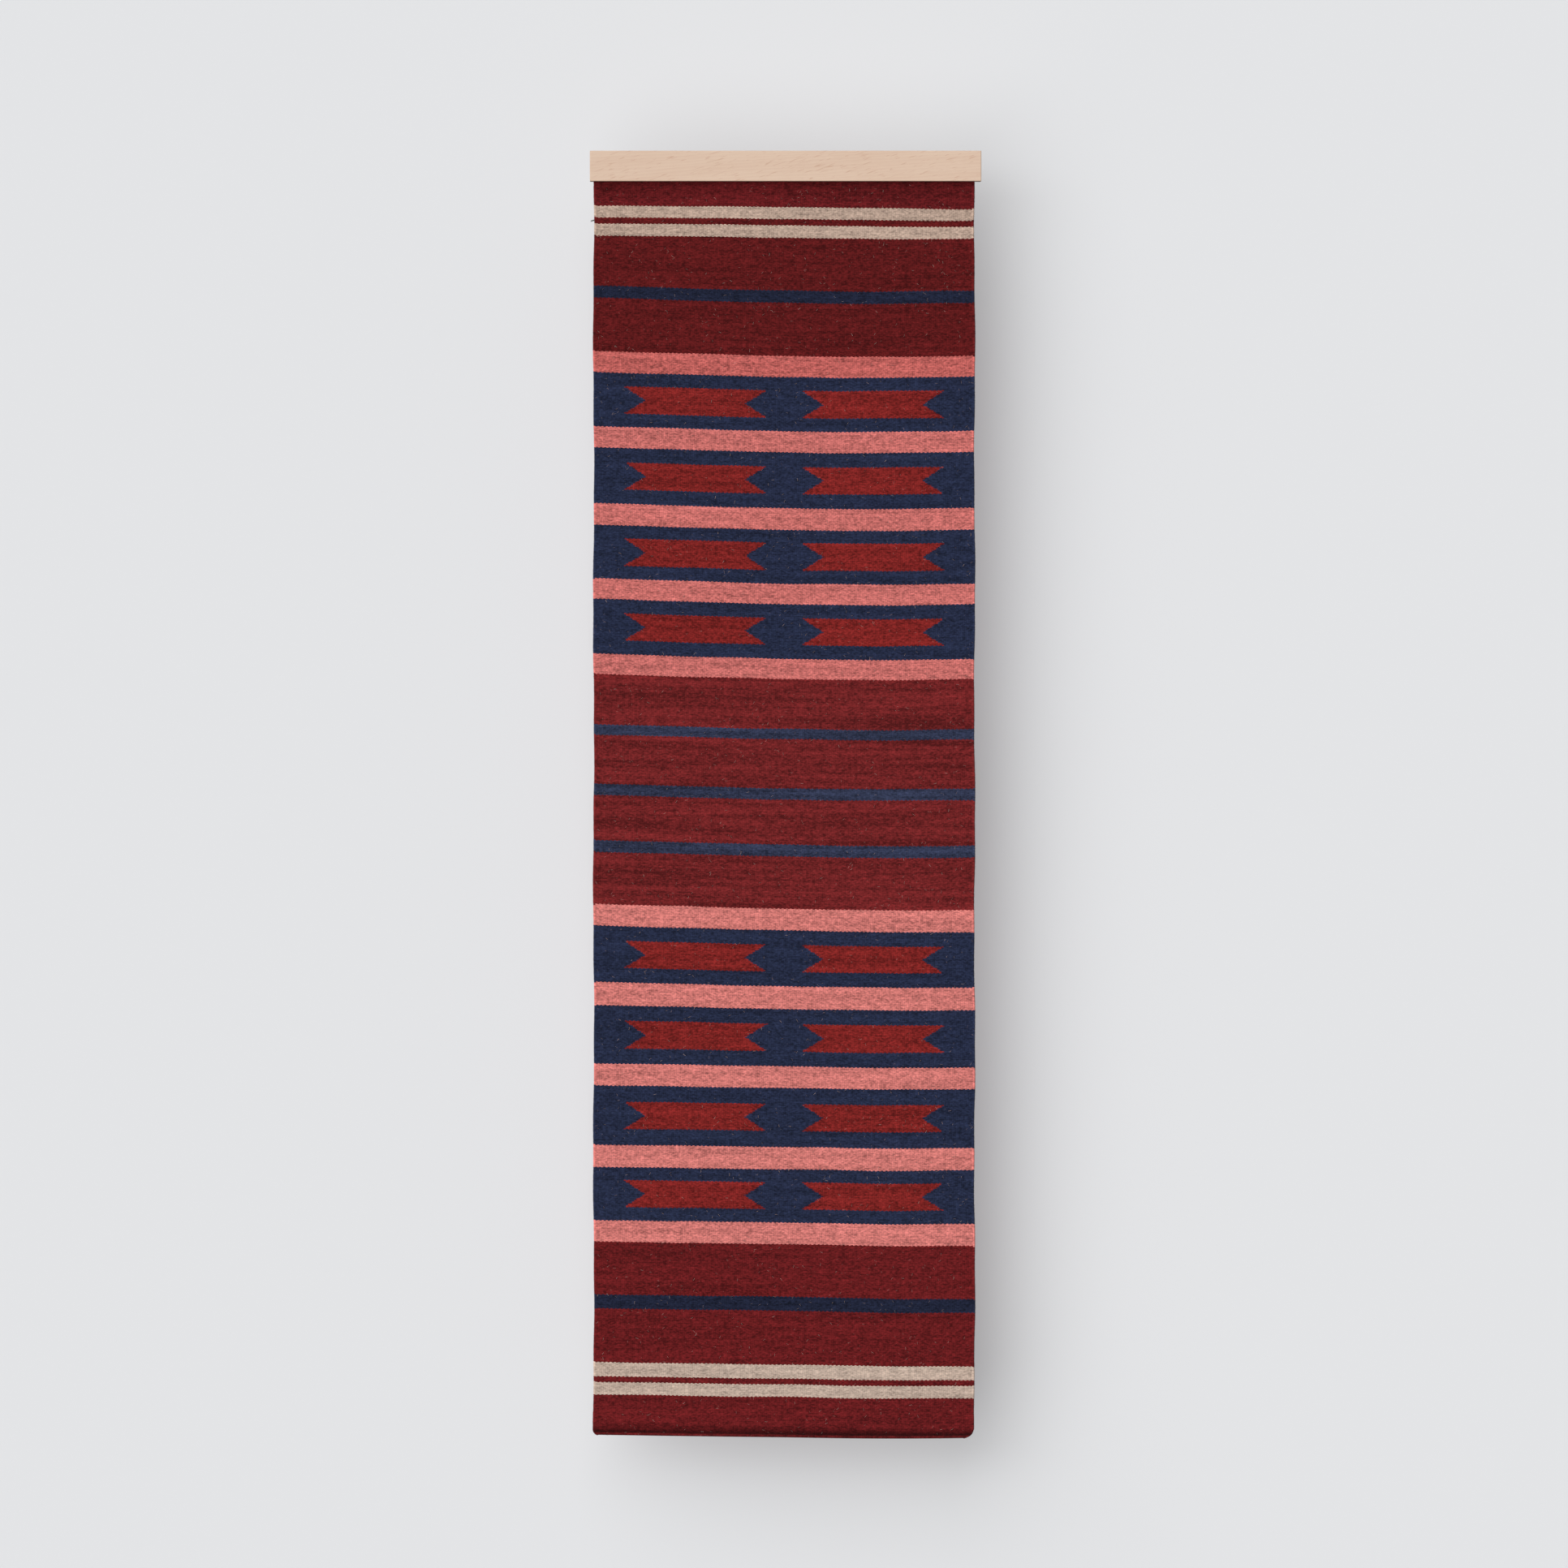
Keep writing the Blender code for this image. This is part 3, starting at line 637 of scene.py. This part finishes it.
def patterned(name, stretch, pattern, tones, relief, **settings):
    """A material shaded between two tones by a texture in the piece's own space, which also stands
    up as relief, by a strength and a distance. The pattern is a node's kind and its inputs.

    Gives the material, what adds a node to it, its shader, its two-tone mix and its pattern.
    """
    material, add, shader = new_material(name)
    place = add("ShaderNodeTexCoord")
    placed = add("ShaderNodeMapping", {0: place.outputs["Object"], "Scale": stretch})
    texture = add(pattern[0], {"Vector": placed, **pattern[1]}, **settings).outputs["Fac"]
    mix = add("ShaderNodeMix", {"Factor": texture, 6: rgba(tones[0]), 7: rgba(tones[1])}, data_type="RGBA")
    bump = add("ShaderNodeBump", {"Strength": relief[0], "Distance": relief[1], "Height": texture})
    fill(shader, {"Base Color": mix.outputs[2], "Normal": bump})
    return material, add, shader, mix, texture


def undyed_yarn():
    """Undyed two-ply weft, grey-green and hairy: a dull, slightly mottled yarn end."""
    mottle = ("ShaderNodeTexNoise", {"Scale": 1600.0})
    tones = (linear("#3E4440"), linear("#8C918B"))
    material, _, shader, _, _ = patterned("Undyed two-ply yarn", (1, 1, 1), mottle, tones, (0.6, 0.2 * MM))
    fill(shader, {"Roughness": 0.9, "Sheen Weight": 0.15, "Specular IOR Level": 0.15})
    return material


def sewing_thread():
    """Waxed cotton sewing thread, two plies twisted: a faint diagonal twist and a dull shine."""
    twist = ("ShaderNodeTexWave", {"Scale": 420.0, "Distortion": 2.0})
    tones = (linear("#3A1214"), linear("#6A2A2A"))
    material, _, shader, _, _ = patterned(
        "Waxed cotton thread", (1, 1, 1), twist, tones, (0.5, 0.1 * MM), bands_direction="DIAGONAL"
    )
    fill(shader, {"Roughness": 0.6, "Specular IOR Level": 0.3})
    return material


# ---------- wood and metal
def oiled_maple(name, clamp, offset):
    """Hard maple, planed and oiled: close, pale and even, with faint pinkish growth lines that drift
    slowly across the face and fine dark flecks; a soft low shine."""
    material, add, shader = new_material(name)
    place = add("ShaderNodeTexCoord")
    sawn = (0.0, math.radians(3.5), math.radians(2.0))
    mapped = add("ShaderNodeMapping", {0: place.outputs["Object"], "Location": offset, "Rotation": sawn})
    # Growth lines 5 mm apart, stretched twelve times along the grain.
    grain = add("ShaderNodeMapping", {0: mapped, "Scale": (1 / 12, 1.0, 1.0)})
    growth = {"Vector": grain, "Scale": 62.0, "Distortion": 7.0, "Detail": 3.0, "Detail Scale": 1.2}
    lines = add("ShaderNodeTexWave", growth, bands_direction="Z", wave_profile="SAW")
    cloud = add("ShaderNodeTexNoise", {"Vector": grain, "Scale": 45.0, "Detail": 3.0})
    fibre_place = add("ShaderNodeMapping", {0: mapped, "Scale": (60.0, 1400.0, 1400.0)})
    fibre = add("ShaderNodeTexNoise", {"Vector": fibre_place, "Scale": 1.0, "Detail": 2.0})
    # Sparse ray flecks 12 mm long that climb the face to the right.
    tilted = add("ShaderNodeMapping", {0: mapped, "Rotation": (0.0, math.radians(14), 0.0)})
    fleck_place = add("ShaderNodeMapping", {0: tilted, "Scale": (55.0, 700.0, 700.0)})
    flecks = add("ShaderNodeTexNoise", {"Vector": fleck_place, "Scale": 1.0, "Detail": 0.0})
    fleck = add("ShaderNodeMapRange", {"Value": flecks, "From Min": 0.69, "From Max": 0.77, "To Max": 0.8})
    share = add("ShaderNodeMath", {0: lines.outputs["Fac"], 1: 0.28}, operation="MULTIPLY")
    for variation, amount in ((cloud, 0.9), (fibre, 0.5)):
        centred = add("ShaderNodeMath", {0: variation, 1: 0.5}, operation="SUBTRACT")
        share = add("ShaderNodeMath", {0: centred, 1: amount, 2: share}, operation="MULTIPLY_ADD")
    share = add("ShaderNodeMath", {0: share, 1: fleck}, operation="ADD", use_clamp=True)
    pale, dark = rgba(clamp.maple), rgba(clamp.maple_line)
    colour = add("ShaderNodeMix", {"Factor": share, 6: pale, 7: dark}, data_type="RGBA")
    bump = add("ShaderNodeBump", {"Strength": 0.25, "Distance": 0.1 * MM, "Height": fibre})
    fill(shader, {"Base Color": colour.outputs[2], "Normal": bump})
    fill(shader, {"Roughness": 0.5, "IOR": 1.48, "Specular IOR Level": 0.3})
    return material


def turned_beech(clamp):
    """Beech dowel, turned and left dry: warm tan with short brown ray flecks along the grain."""
    flecks = ("ShaderNodeTexNoise", {"Scale": 1.0, "Detail": 2.0})
    tones = (clamp.beech, tuple(0.45 * channel for channel in clamp.beech))
    stretch = (2200.0, 300.0, 2200.0)
    material, add, shader, mix, texture = patterned("Turned beech", stretch, flecks, tones, (0.3, 0.1 * MM))
    sparse = add("ShaderNodeMapRange", {"Value": texture, "From Min": 0.5, "From Max": 0.8})
    fill(mix, {"Factor": sparse})
    fill(shader, {"Roughness": 0.65, "Specular IOR Level": 0.3})
    return material


def plated_metal(name, colour, brushing, roughness):
    """Plated steel: a thin bright metal with fine marks left by its making, so that its shine
    breaks up a little; nickel is close to a mirror and zinc is satin."""
    marks = ("ShaderNodeTexNoise", {"Scale": 1.0, "Detail": 3.0})
    tones = (tuple(0.8 * channel for channel in colour), colour)
    material, add, shader, _, texture = patterned(name, brushing, marks, tones, (0.15, 0.05 * MM))
    uneven = {"Value": texture, "To Min": 0.7 * roughness, "To Max": 1.3 * roughness}
    fill(shader, {"Metallic": 1.0, "Roughness": add("ShaderNodeMapRange", uneven)})
    return material


def paint_node(node, material):
    """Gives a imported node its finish."""
    slots = NODES[node].data.materials
    slots.clear()
    slots.append(material)


# ---------- trees and small shapes
def blend_at_clamp(piece):
    """Bakes the piece's place into its own mesh."""
    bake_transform(piece)


def places_along(add, given):
    """Points a pitch apart along the tree's line."""
    line = add("GeometryNodeMeshToCurve", {0: given["Geometry"]})
    return add("GeometryNodeResampleCurve", {"Curve": line, "Length": given["Pitch"]}, mode="LENGTH")


def round_strand(add, line, thickness, sides):
    """A line as a round strand with closed ends."""
    half = add("ShaderNodeMath", {0: thickness, 1: 0.5}, operation="MULTIPLY")
    section = add("GeometryNodeCurvePrimitiveCircle", {"Resolution": sides, "Radius": half})
    return add("GeometryNodeCurveToMesh", {"Curve": line, "Profile Curve": section, "Fill Caps": True})


def selvedge_tree(sizes):
    """Turns of weft, drawn as flattened beads, one after another along the edge of the cloth."""
    tree, add, given = new_tree("Selvedge wrap", sizes)
    lay = add("GeometryNodeInputNamedAttribute", {"Name": "lay"}, data_type="FLOAT_VECTOR")
    part = add("ShaderNodeSeparateXYZ", {0: lay.outputs["Attribute"]})
    # The wrap slants 18 degrees, and it turns with the cloth where the hem rolls back.
    turned = add("ShaderNodeCombineXYZ", {"X": part.outputs["X"], "Y": math.radians(18)})
    bead = add("GeometryNodeMeshUVSphere", {"Segments": 8, "Rings": 5, "Radius": 0.5})
    smooth = add("GeometryNodeSetShadeSmooth", {"Geometry": bead})
    uneven = add("FunctionNodeRandomValue", {2: 0.94, 3: 1.06, "Seed": 3}, data_type="FLOAT")
    wide = add("ShaderNodeMath", {0: uneven.outputs[1], 1: given["Diameter"]}, operation="MULTIPLY")
    deep = add("ShaderNodeMath", {0: part.outputs["Y"], 1: given["Diameter"]}, operation="MULTIPLY")
    tall = add("ShaderNodeMath", {0: given["Pitch"], 1: 1.25}, operation="MULTIPLY")
    size = add("ShaderNodeCombineXYZ", {0: wide, 1: deep, 2: tall})
    placed = {"Points": places_along(add, given), "Instance": smooth, "Rotation": turned, "Scale": size}
    wrapped = add("GeometryNodeInstanceOnPoints", placed)
    end_tree(add, wrapped, given["Wool"])
    return tree


def stitch_tree(sizes):
    """Whip stitches: short slanted loops of thread over the hem's upper edge."""
    tree, add, given = new_tree("Whip stitches", sizes)
    bend = {"Resolution": 7, "Start": given["Down"], "Middle": given["Over"], "End": given["Up"]}
    loop = add("GeometryNodeCurveQuadraticBezier", bend)
    smooth = add("GeometryNodeSetShadeSmooth", {"Geometry": round_strand(add, loop, given["Thread"], 7)})
    least, most = (0.0, -0.16, 0.0), (0.0, 0.16, 0.0)
    slant = add("FunctionNodeRandomValue", {0: least, 1: most, "Seed": 5}, data_type="FLOAT_VECTOR")
    placed = {"Points": places_along(add, given), "Instance": smooth, "Rotation": slant}
    sewn = add("GeometryNodeInstanceOnPoints", placed)
    end_tree(add, sewn, given["Cotton"])
    return tree


def hair_tree(sizes):
    """Short bent hairs, standing a little off the cloth and lying every way."""
    tree, add, given = new_tree("Kemp hairs", sizes)
    level = add("ShaderNodeSeparateXYZ", {0: add("GeometryNodeInputPosition")})
    hanging = add("FunctionNodeCompare", {0: level.outputs["Z"], 1: given["Top"]}, operation="LESS_THAN")
    scattered = add(
        "GeometryNodeDistributePointsOnFaces",
        {"Mesh": given["Geometry"], "Selection": hanging, "Density": given["Density"], "Seed": given["Seed"]},
    )
    bend = {"Resolution": 3, "Start": (-0.5, 0, -0.03), "Middle": (0.1, 0.1, 0.2), "End": (0.5, -0.03, 0.08)}
    hair = add("GeometryNodeCurveQuadraticBezier", bend)
    longer = add("ShaderNodeCombineXYZ", {i: given["Length"] for i in range(3)})
    sized = add("GeometryNodeTransform", {"Geometry": hair, "Scale": longer})
    strand = round_strand(add, sized, given["Thickness"], 3)
    none, whole = (0.0, 0.0, 0.0), (0.0, 0.0, TURN)
    spin = add("FunctionNodeRandomValue", {0: none, 1: whole, "Seed": 11}, data_type="FLOAT_VECTOR")
    spun = {"Rotation": scattered.outputs["Rotation"], "Rotate By": spin}
    turned = add("FunctionNodeRotateRotation", spun, rotation_space="LOCAL")
    grown = add("FunctionNodeRandomValue", {2: 0.45, 3: 1.3, "Seed": 13}, data_type="FLOAT").outputs[1]
    placed = {"Points": scattered, "Instance": strand, "Rotation": turned, "Scale": grown}
    planted = add("GeometryNodeInstanceOnPoints", placed)
    shade = add("FunctionNodeRandomValue", {2: 0.0, 3: 1.0, "Seed": 17}, data_type="FLOAT").outputs[1]
    kept = {"Geometry": planted, "Name": "shade", "Value": shade}
    shaded = add("GeometryNodeStoreNamedAttribute", kept, data_type="FLOAT", domain="INSTANCE")
    end_tree(add, shaded, given["Hair"])
    return tree


def tail_mesh(start, length):
    """Two twisted plies of loose weft that stick out sideways, drooping a little."""
    ply, lay, steps, sides = 0.75 * MM, 0.55 * MM, 24, 7
    points, faces = [], []
    for strand in (0, math.pi):
        first = len(points)
        for step in range(steps + 1):
            share = step / steps
            turn = strand + TURN * 2.2 * share
            width = ply * (1 - 0.45 * share**3)
            spread = lay * (1 + 1.2 * share**4)
            centre = start + Vector((
                -length * share,
                spread * math.cos(turn),
                spread * math.sin(turn) - 1.6 * MM * share**2,
            ))
            for side in range(sides):
                angle = TURN * side / sides
                points.append(centre + Vector((0, width * math.cos(angle), width * math.sin(angle))))
        for step in range(steps):
            for side in range(sides):
                low = first + step * sides
                after = (side + 1) % sides
                faces.append((low + side, low + sides + side, low + sides + after, low + after))
        faces.append([first + side for side in range(sides)])
        faces.append([first + steps * sides + side for side in reversed(range(sides))])
    mesh = bpy.data.meshes.new("weft_tail")
    mesh.from_pydata(points, [], faces)
    mesh.shade_smooth()
    return mesh


# ---------- stage
def matt_paint(stage):
    """Matt wall paint: a flat scattering surface with no shine and the faintest roller stipple.

    Part of its light is its own, because a bright room lights a wall from every side at once. From
    behind it is clear, so that the back of the hanging can be seen.
    """
    material, add, shader = new_material("Matt wall paint")
    shadow_share = 0.59
    place = add("ShaderNodeTexCoord")
    stipple = add("ShaderNodeTexNoise", {"Vector": place.outputs["Object"], "Scale": 260.0})
    bump = add("ShaderNodeBump", {"Strength": 0.1, "Distance": 0.1 * MM, "Height": stipple})
    fill(shader, {"Base Color": rgba([shadow_share * c for c in stage.wall]), "Normal": bump})
    fill(shader, {"Emission Color": rgba(stage.wall), "Emission Strength": 1 - shadow_share})
    fill(shader, {"Roughness": 1.0, "Specular IOR Level": 0.0})
    clear = add("ShaderNodeBsdfTransparent")
    behind = add("ShaderNodeNewGeometry").outputs["Backfacing"]
    mixed = add("ShaderNodeMixShader", {"Fac": behind, 1: shader, 2: clear})
    fill(material.node_tree.nodes["Material Output"], {"Surface": mixed})
    return material


def add_sun(name, travel, spread, strength):
    """Light that travels one way, from a source of that angular size in degrees."""
    light = bpy.data.lights.new(name, "SUN")
    light.energy = strength
    light.angle = math.radians(spread)
    lamp = bpy.data.objects.new(name, light)
    lamp.rotation_euler = Vector(travel).to_track_quat("-Z", "Y").to_euler()
    bpy.context.scene.collection.objects.link(lamp)


def light_room(stage):
    """An even pale room."""
    world = bpy.data.worlds.new("pale_room")
    world.use_nodes = True
    tree = world.node_tree
    seen = add_node(tree, "ShaderNodeLightPath").outputs["Is Camera Ray"]
    strength = add_node(tree, "ShaderNodeMapRange", {"Value": seen, "To Min": stage.fill, "To Max": 0.8})
    fill(tree.nodes["Background"], {"Color": (1, 1, 1, 1), "Strength": strength})
    bpy.context.scene.world = world


def add_camera():
    """The camera squarely in front of the hanging, a little above its middle."""
    camera = bpy.data.objects.new("camera", bpy.data.cameras.new("camera"))
    camera.location = CAMERA_PLACE
    camera.rotation_euler = (math.pi / 2, 0, 0)
    camera.data.lens = CAMERA_LENS
    camera.data.clip_end = 200
    camera.data.sensor_width = 36
    bpy.context.scene.collection.objects.link(camera)
    bpy.context.scene.camera = camera
    bpy.context.scene.view_settings.view_transform = "Standard"


# ---------- one operator for each kind of piece
class TAPESTRY_OT_weave_cloth(bpy.types.Operator):
    """Weave the wool cloth, from its top edge in the clamp to its rolled hem"""

    bl_idname = "tapestry.weave_cloth"
    bl_label = "Weave the cloth"

    def execute(self, context):
        drape = context.scene.tapestry_drape
        wool = handwoven_wool(context.scene.tapestry_yarns, drape)
        cloth = new_piece("woven_cloth", cloth_mesh(drape), wool)
        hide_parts("tapestry_heading", "tapestry_panel", "hem_fold")
        blend_at_clamp(cloth)
        return {"FINISHED"}


class TAPESTRY_OT_wrap_selvedges(bpy.types.Operator):
    """Wrap both selvedges with the weft, over their doubled warps"""

    bl_idname = "tapestry.wrap_selvedges"
    bl_label = "Wrap the selvedges"

    def execute(self, context):
        drape, detail = context.scene.tapestry_drape, context.scene.tapestry_detail
        wool = wrapped_material("Handwoven wool")
        sizes = {"Pitch": detail.wrap_pitch, "Diameter": CORD_DIAMETER, "Wool": wool}
        tree = selvedge_tree(sizes)
        for name, across in (("selvedge_wrap_left", -CORD_PLACE), ("selvedge_wrap_right", CORD_PLACE)):
            woven, y, z, turn = fall_line(drape)
            place, weave = hang(np.full_like(z, across), woven, y, z, drape)
            # The third weave value marks the wraps, which the wool paints with a highlight.
            weave[:, 2] = 1.0
            press = PRESSED + (1 - PRESSED) * smooth_step(CLAMP_Z - z, 0.001, 0.012)
            lay = np.stack([turn, press, np.zeros_like(turn)], axis=-1)
            line = line_mesh(name + "_line", place, weave, lay)
            cord = grow(name, line, tree, sizes)
            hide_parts(name.replace("_wrap", ""))
            blend_at_clamp(cord)
        return {"FINISHED"}


class TAPESTRY_OT_stitch_hem(bpy.types.Operator):
    """Sew the hem down with whip stitches over its upper edge"""

    bl_idname = "tapestry.stitch_hem"
    bl_label = "Stitch the hem"

    def execute(self, context):
        drape, detail = context.scene.tapestry_drape, context.scene.tapestry_detail
        thread = sewing_thread()
        across = np.linspace(-CORD_PLACE + 8 * MM, CORD_PLACE - 8 * MM, 120)
        level = np.full_like(across, HEM_TOP)
        surface = np.full_like(across, HEM_Y + HALF_THICKNESS)
        place, _ = hang(across, np.zeros_like(across), surface, level, drape)
        sizes = {
            "Pitch": detail.stitch_pitch,
            "Thread": detail.thread_diameter,
            "Down": Vector((-2.2 * MM, 0.2 * MM, -5.5 * MM)),
            "Over": Vector((0.0, 2.6 * MM, 2.2 * MM)),
            "Up": Vector((2.2 * MM, -3.3 * MM, 2.6 * MM)),
            "Cotton": thread,
        }
        stitches = grow("hem_stitches", line_mesh("hem_line", place), stitch_tree(sizes), sizes)
        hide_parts("hem_thread")
        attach(stitches, "hanging_cloth")
        return {"FINISHED"}


class TAPESTRY_OT_raise_kemp(bpy.types.Operator):
    """Raise short kemp hairs from both faces of the cloth"""

    bl_idname = "tapestry.raise_kemp"
    bl_label = "Raise the kemp hairs"

    def execute(self, context):
        detail = context.scene.tapestry_detail
        base = cloth_mesh(context.scene.tapestry_drape)
        area = sum(face.area for face in base.polygons)
        sizes = {
            "Density": detail.hair_count / area,
            "Seed": 7,
            "Top": CLAMP_Z - 6 * MM,
            "Length": detail.hair_length,
            "Thickness": detail.hair_thickness,
            "Hair": kemp_hair(context.scene.tapestry_yarns),
        }
        hairs = grow("kemp_hairs", base, hair_tree(sizes), sizes)
        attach(hairs, "hanging_cloth")
        return {"FINISHED"}


class TAPESTRY_OT_leave_weft_tail(bpy.types.Operator):
    """Leave the short two-ply weft end that sticks out at the left edge"""

    bl_idname = "tapestry.leave_weft_tail"
    bl_label = "Leave the weft's tail"

    def execute(self, context):
        drape, detail = context.scene.tapestry_drape, context.scene.tapestry_detail
        place = (-CORD_PLACE, TAIL_DEPTH, CLOTH_Y, CLAMP_Z - TAIL_DEPTH)
        start, _ = hang(*(np.array([value]) for value in place), drape)
        tail = new_piece("weft_tail", tail_mesh(Vector(start[0]), detail.tail_length), undyed_yarn())
        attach(tail, "hanging_cloth")
        return {"FINISHED"}


class TAPESTRY_OT_finish_clamp(bpy.types.Operator):
    """Finish the clamp's boards, dowels, magnets, plates and screws"""

    bl_idname = "tapestry.finish_clamp"
    bl_label = "Finish the clamp"

    def execute(self, context):
        clamp = context.scene.tapestry_clamp
        finishes = {
            "front_board": oiled_maple("Oiled maple, front board", clamp, (0.31, 0.0, 0.013)),
            "rear_board": oiled_maple("Oiled maple, rear board", clamp, (1.7, 0.06, 0.041)),
            "dowel": turned_beech(clamp),
            "front_magnet": plated_metal("Nickel plating", clamp.nickel, (900.0, 900.0, 900.0), 0.2),
            "keyhole": plated_metal("Zinc plating, pressed steel", clamp.zinc, (160.0, 1500.0, 1500.0), 0.38),
        }
        finishes["rear_magnet"] = finishes["front_magnet"]
        for node in sorted(NODES):
            for start, material in finishes.items():
                if node.startswith(start):
                    paint_node(node, material)
        return {"FINISHED"}


class TAPESTRY_OT_set_stage(bpy.types.Operator):
    """Set the wall, the floor, the light and the camera"""

    bl_idname = "tapestry.set_stage"
    bl_label = "Set the stage"

    def execute(self, context):
        stage = context.scene.tapestry_stage
        paint = matt_paint(stage)
        middle = (PANEL_LOW.z + BOARD_LOW.z) / 2
        around = ((-1, -1), (1, -1), (1, 1), (-1, 1))
        wall_corners = [(40 * x, stage.stand_off, middle + 30 * z) for x, z in around]
        floor_corners = [(40 * x, 40 * y, FLOOR_Z) for x, y in around]
        for name, corners in (("wall", wall_corners), ("floor", floor_corners)):
            mesh = bpy.data.meshes.new(name)
            mesh.from_pydata(corners, [], [(0, 1, 2, 3)])
            surface = new_piece(name, mesh, paint)
            for ray in ("diffuse", "glossy", "transmission", "shadow"):
                setattr(surface, "visible_" + ray, False)
        add_sun("key_light", KEY_TRAVEL, 65, stage.key)
        add_sun("low_light", LOW_TRAVEL, 65, stage.low)
        add_sun("back_light", BACK_TRAVEL, 60, 0.9 * stage.key)
        light_room(stage)
        add_camera()
        return {"FINISHED"}


class TAPESTRY_PT_pieces(bpy.types.Panel):
    """The tapestry wall hanging's sizes, colours and pieces"""

    bl_label = "Tapestry Wall Hanging"
    bl_idname = "TAPESTRY_PT_pieces"
    bl_space_type = "VIEW_3D"
    bl_region_type = "UI"
    bl_category = "Tapestry"

    def draw(self, context):
        for name, group in SETTINGS.items():
            column = self.layout.box().column()
            for choice in group.__annotations__:
                column.prop(getattr(context.scene, name), choice)
        for operator in OPERATORS:
            self.layout.operator(operator.bl_idname)


SETTINGS = {
    "tapestry_yarns": YarnSettings,
    "tapestry_drape": DrapeSettings,
    "tapestry_detail": DetailSettings,
    "tapestry_clamp": ClampSettings,
    "tapestry_stage": StageSettings,
}
OPERATORS = (
    TAPESTRY_OT_weave_cloth,
    TAPESTRY_OT_wrap_selvedges,
    TAPESTRY_OT_stitch_hem,
    TAPESTRY_OT_raise_kemp,
    TAPESTRY_OT_leave_weft_tail,
    TAPESTRY_OT_finish_clamp,
    TAPESTRY_OT_set_stage,
)


def register():
    for kind in (*SETTINGS.values(), *OPERATORS, TAPESTRY_PT_pieces):
        bpy.utils.register_class(kind)
    for name, group in SETTINGS.items():
        setattr(bpy.types.Scene, name, PointerProperty(type=group))


def unregister():
    for name in SETTINGS:
        delattr(bpy.types.Scene, name)
    for kind in (TAPESTRY_PT_pieces, *reversed(OPERATORS), *reversed(SETTINGS.values())):
        bpy.utils.unregister_class(kind)


def declare_cloth():
    """Works out the cloth's woven length, from its top edge round its hem."""
    woven_length = fall_line(bpy.context.scene.tapestry_drape)[0][-1] + GRIPPED


def main():
    register()
    bpy.ops.tapestry.weave_cloth()
    bpy.ops.tapestry.wrap_selvedges()
    bpy.ops.tapestry.stitch_hem()
    bpy.ops.tapestry.raise_kemp()
    bpy.ops.tapestry.leave_weft_tail()
    bpy.ops.tapestry.finish_clamp()
    bpy.ops.tapestry.set_stage()
    declare_cloth()


if __name__ == "__main__":
    main()
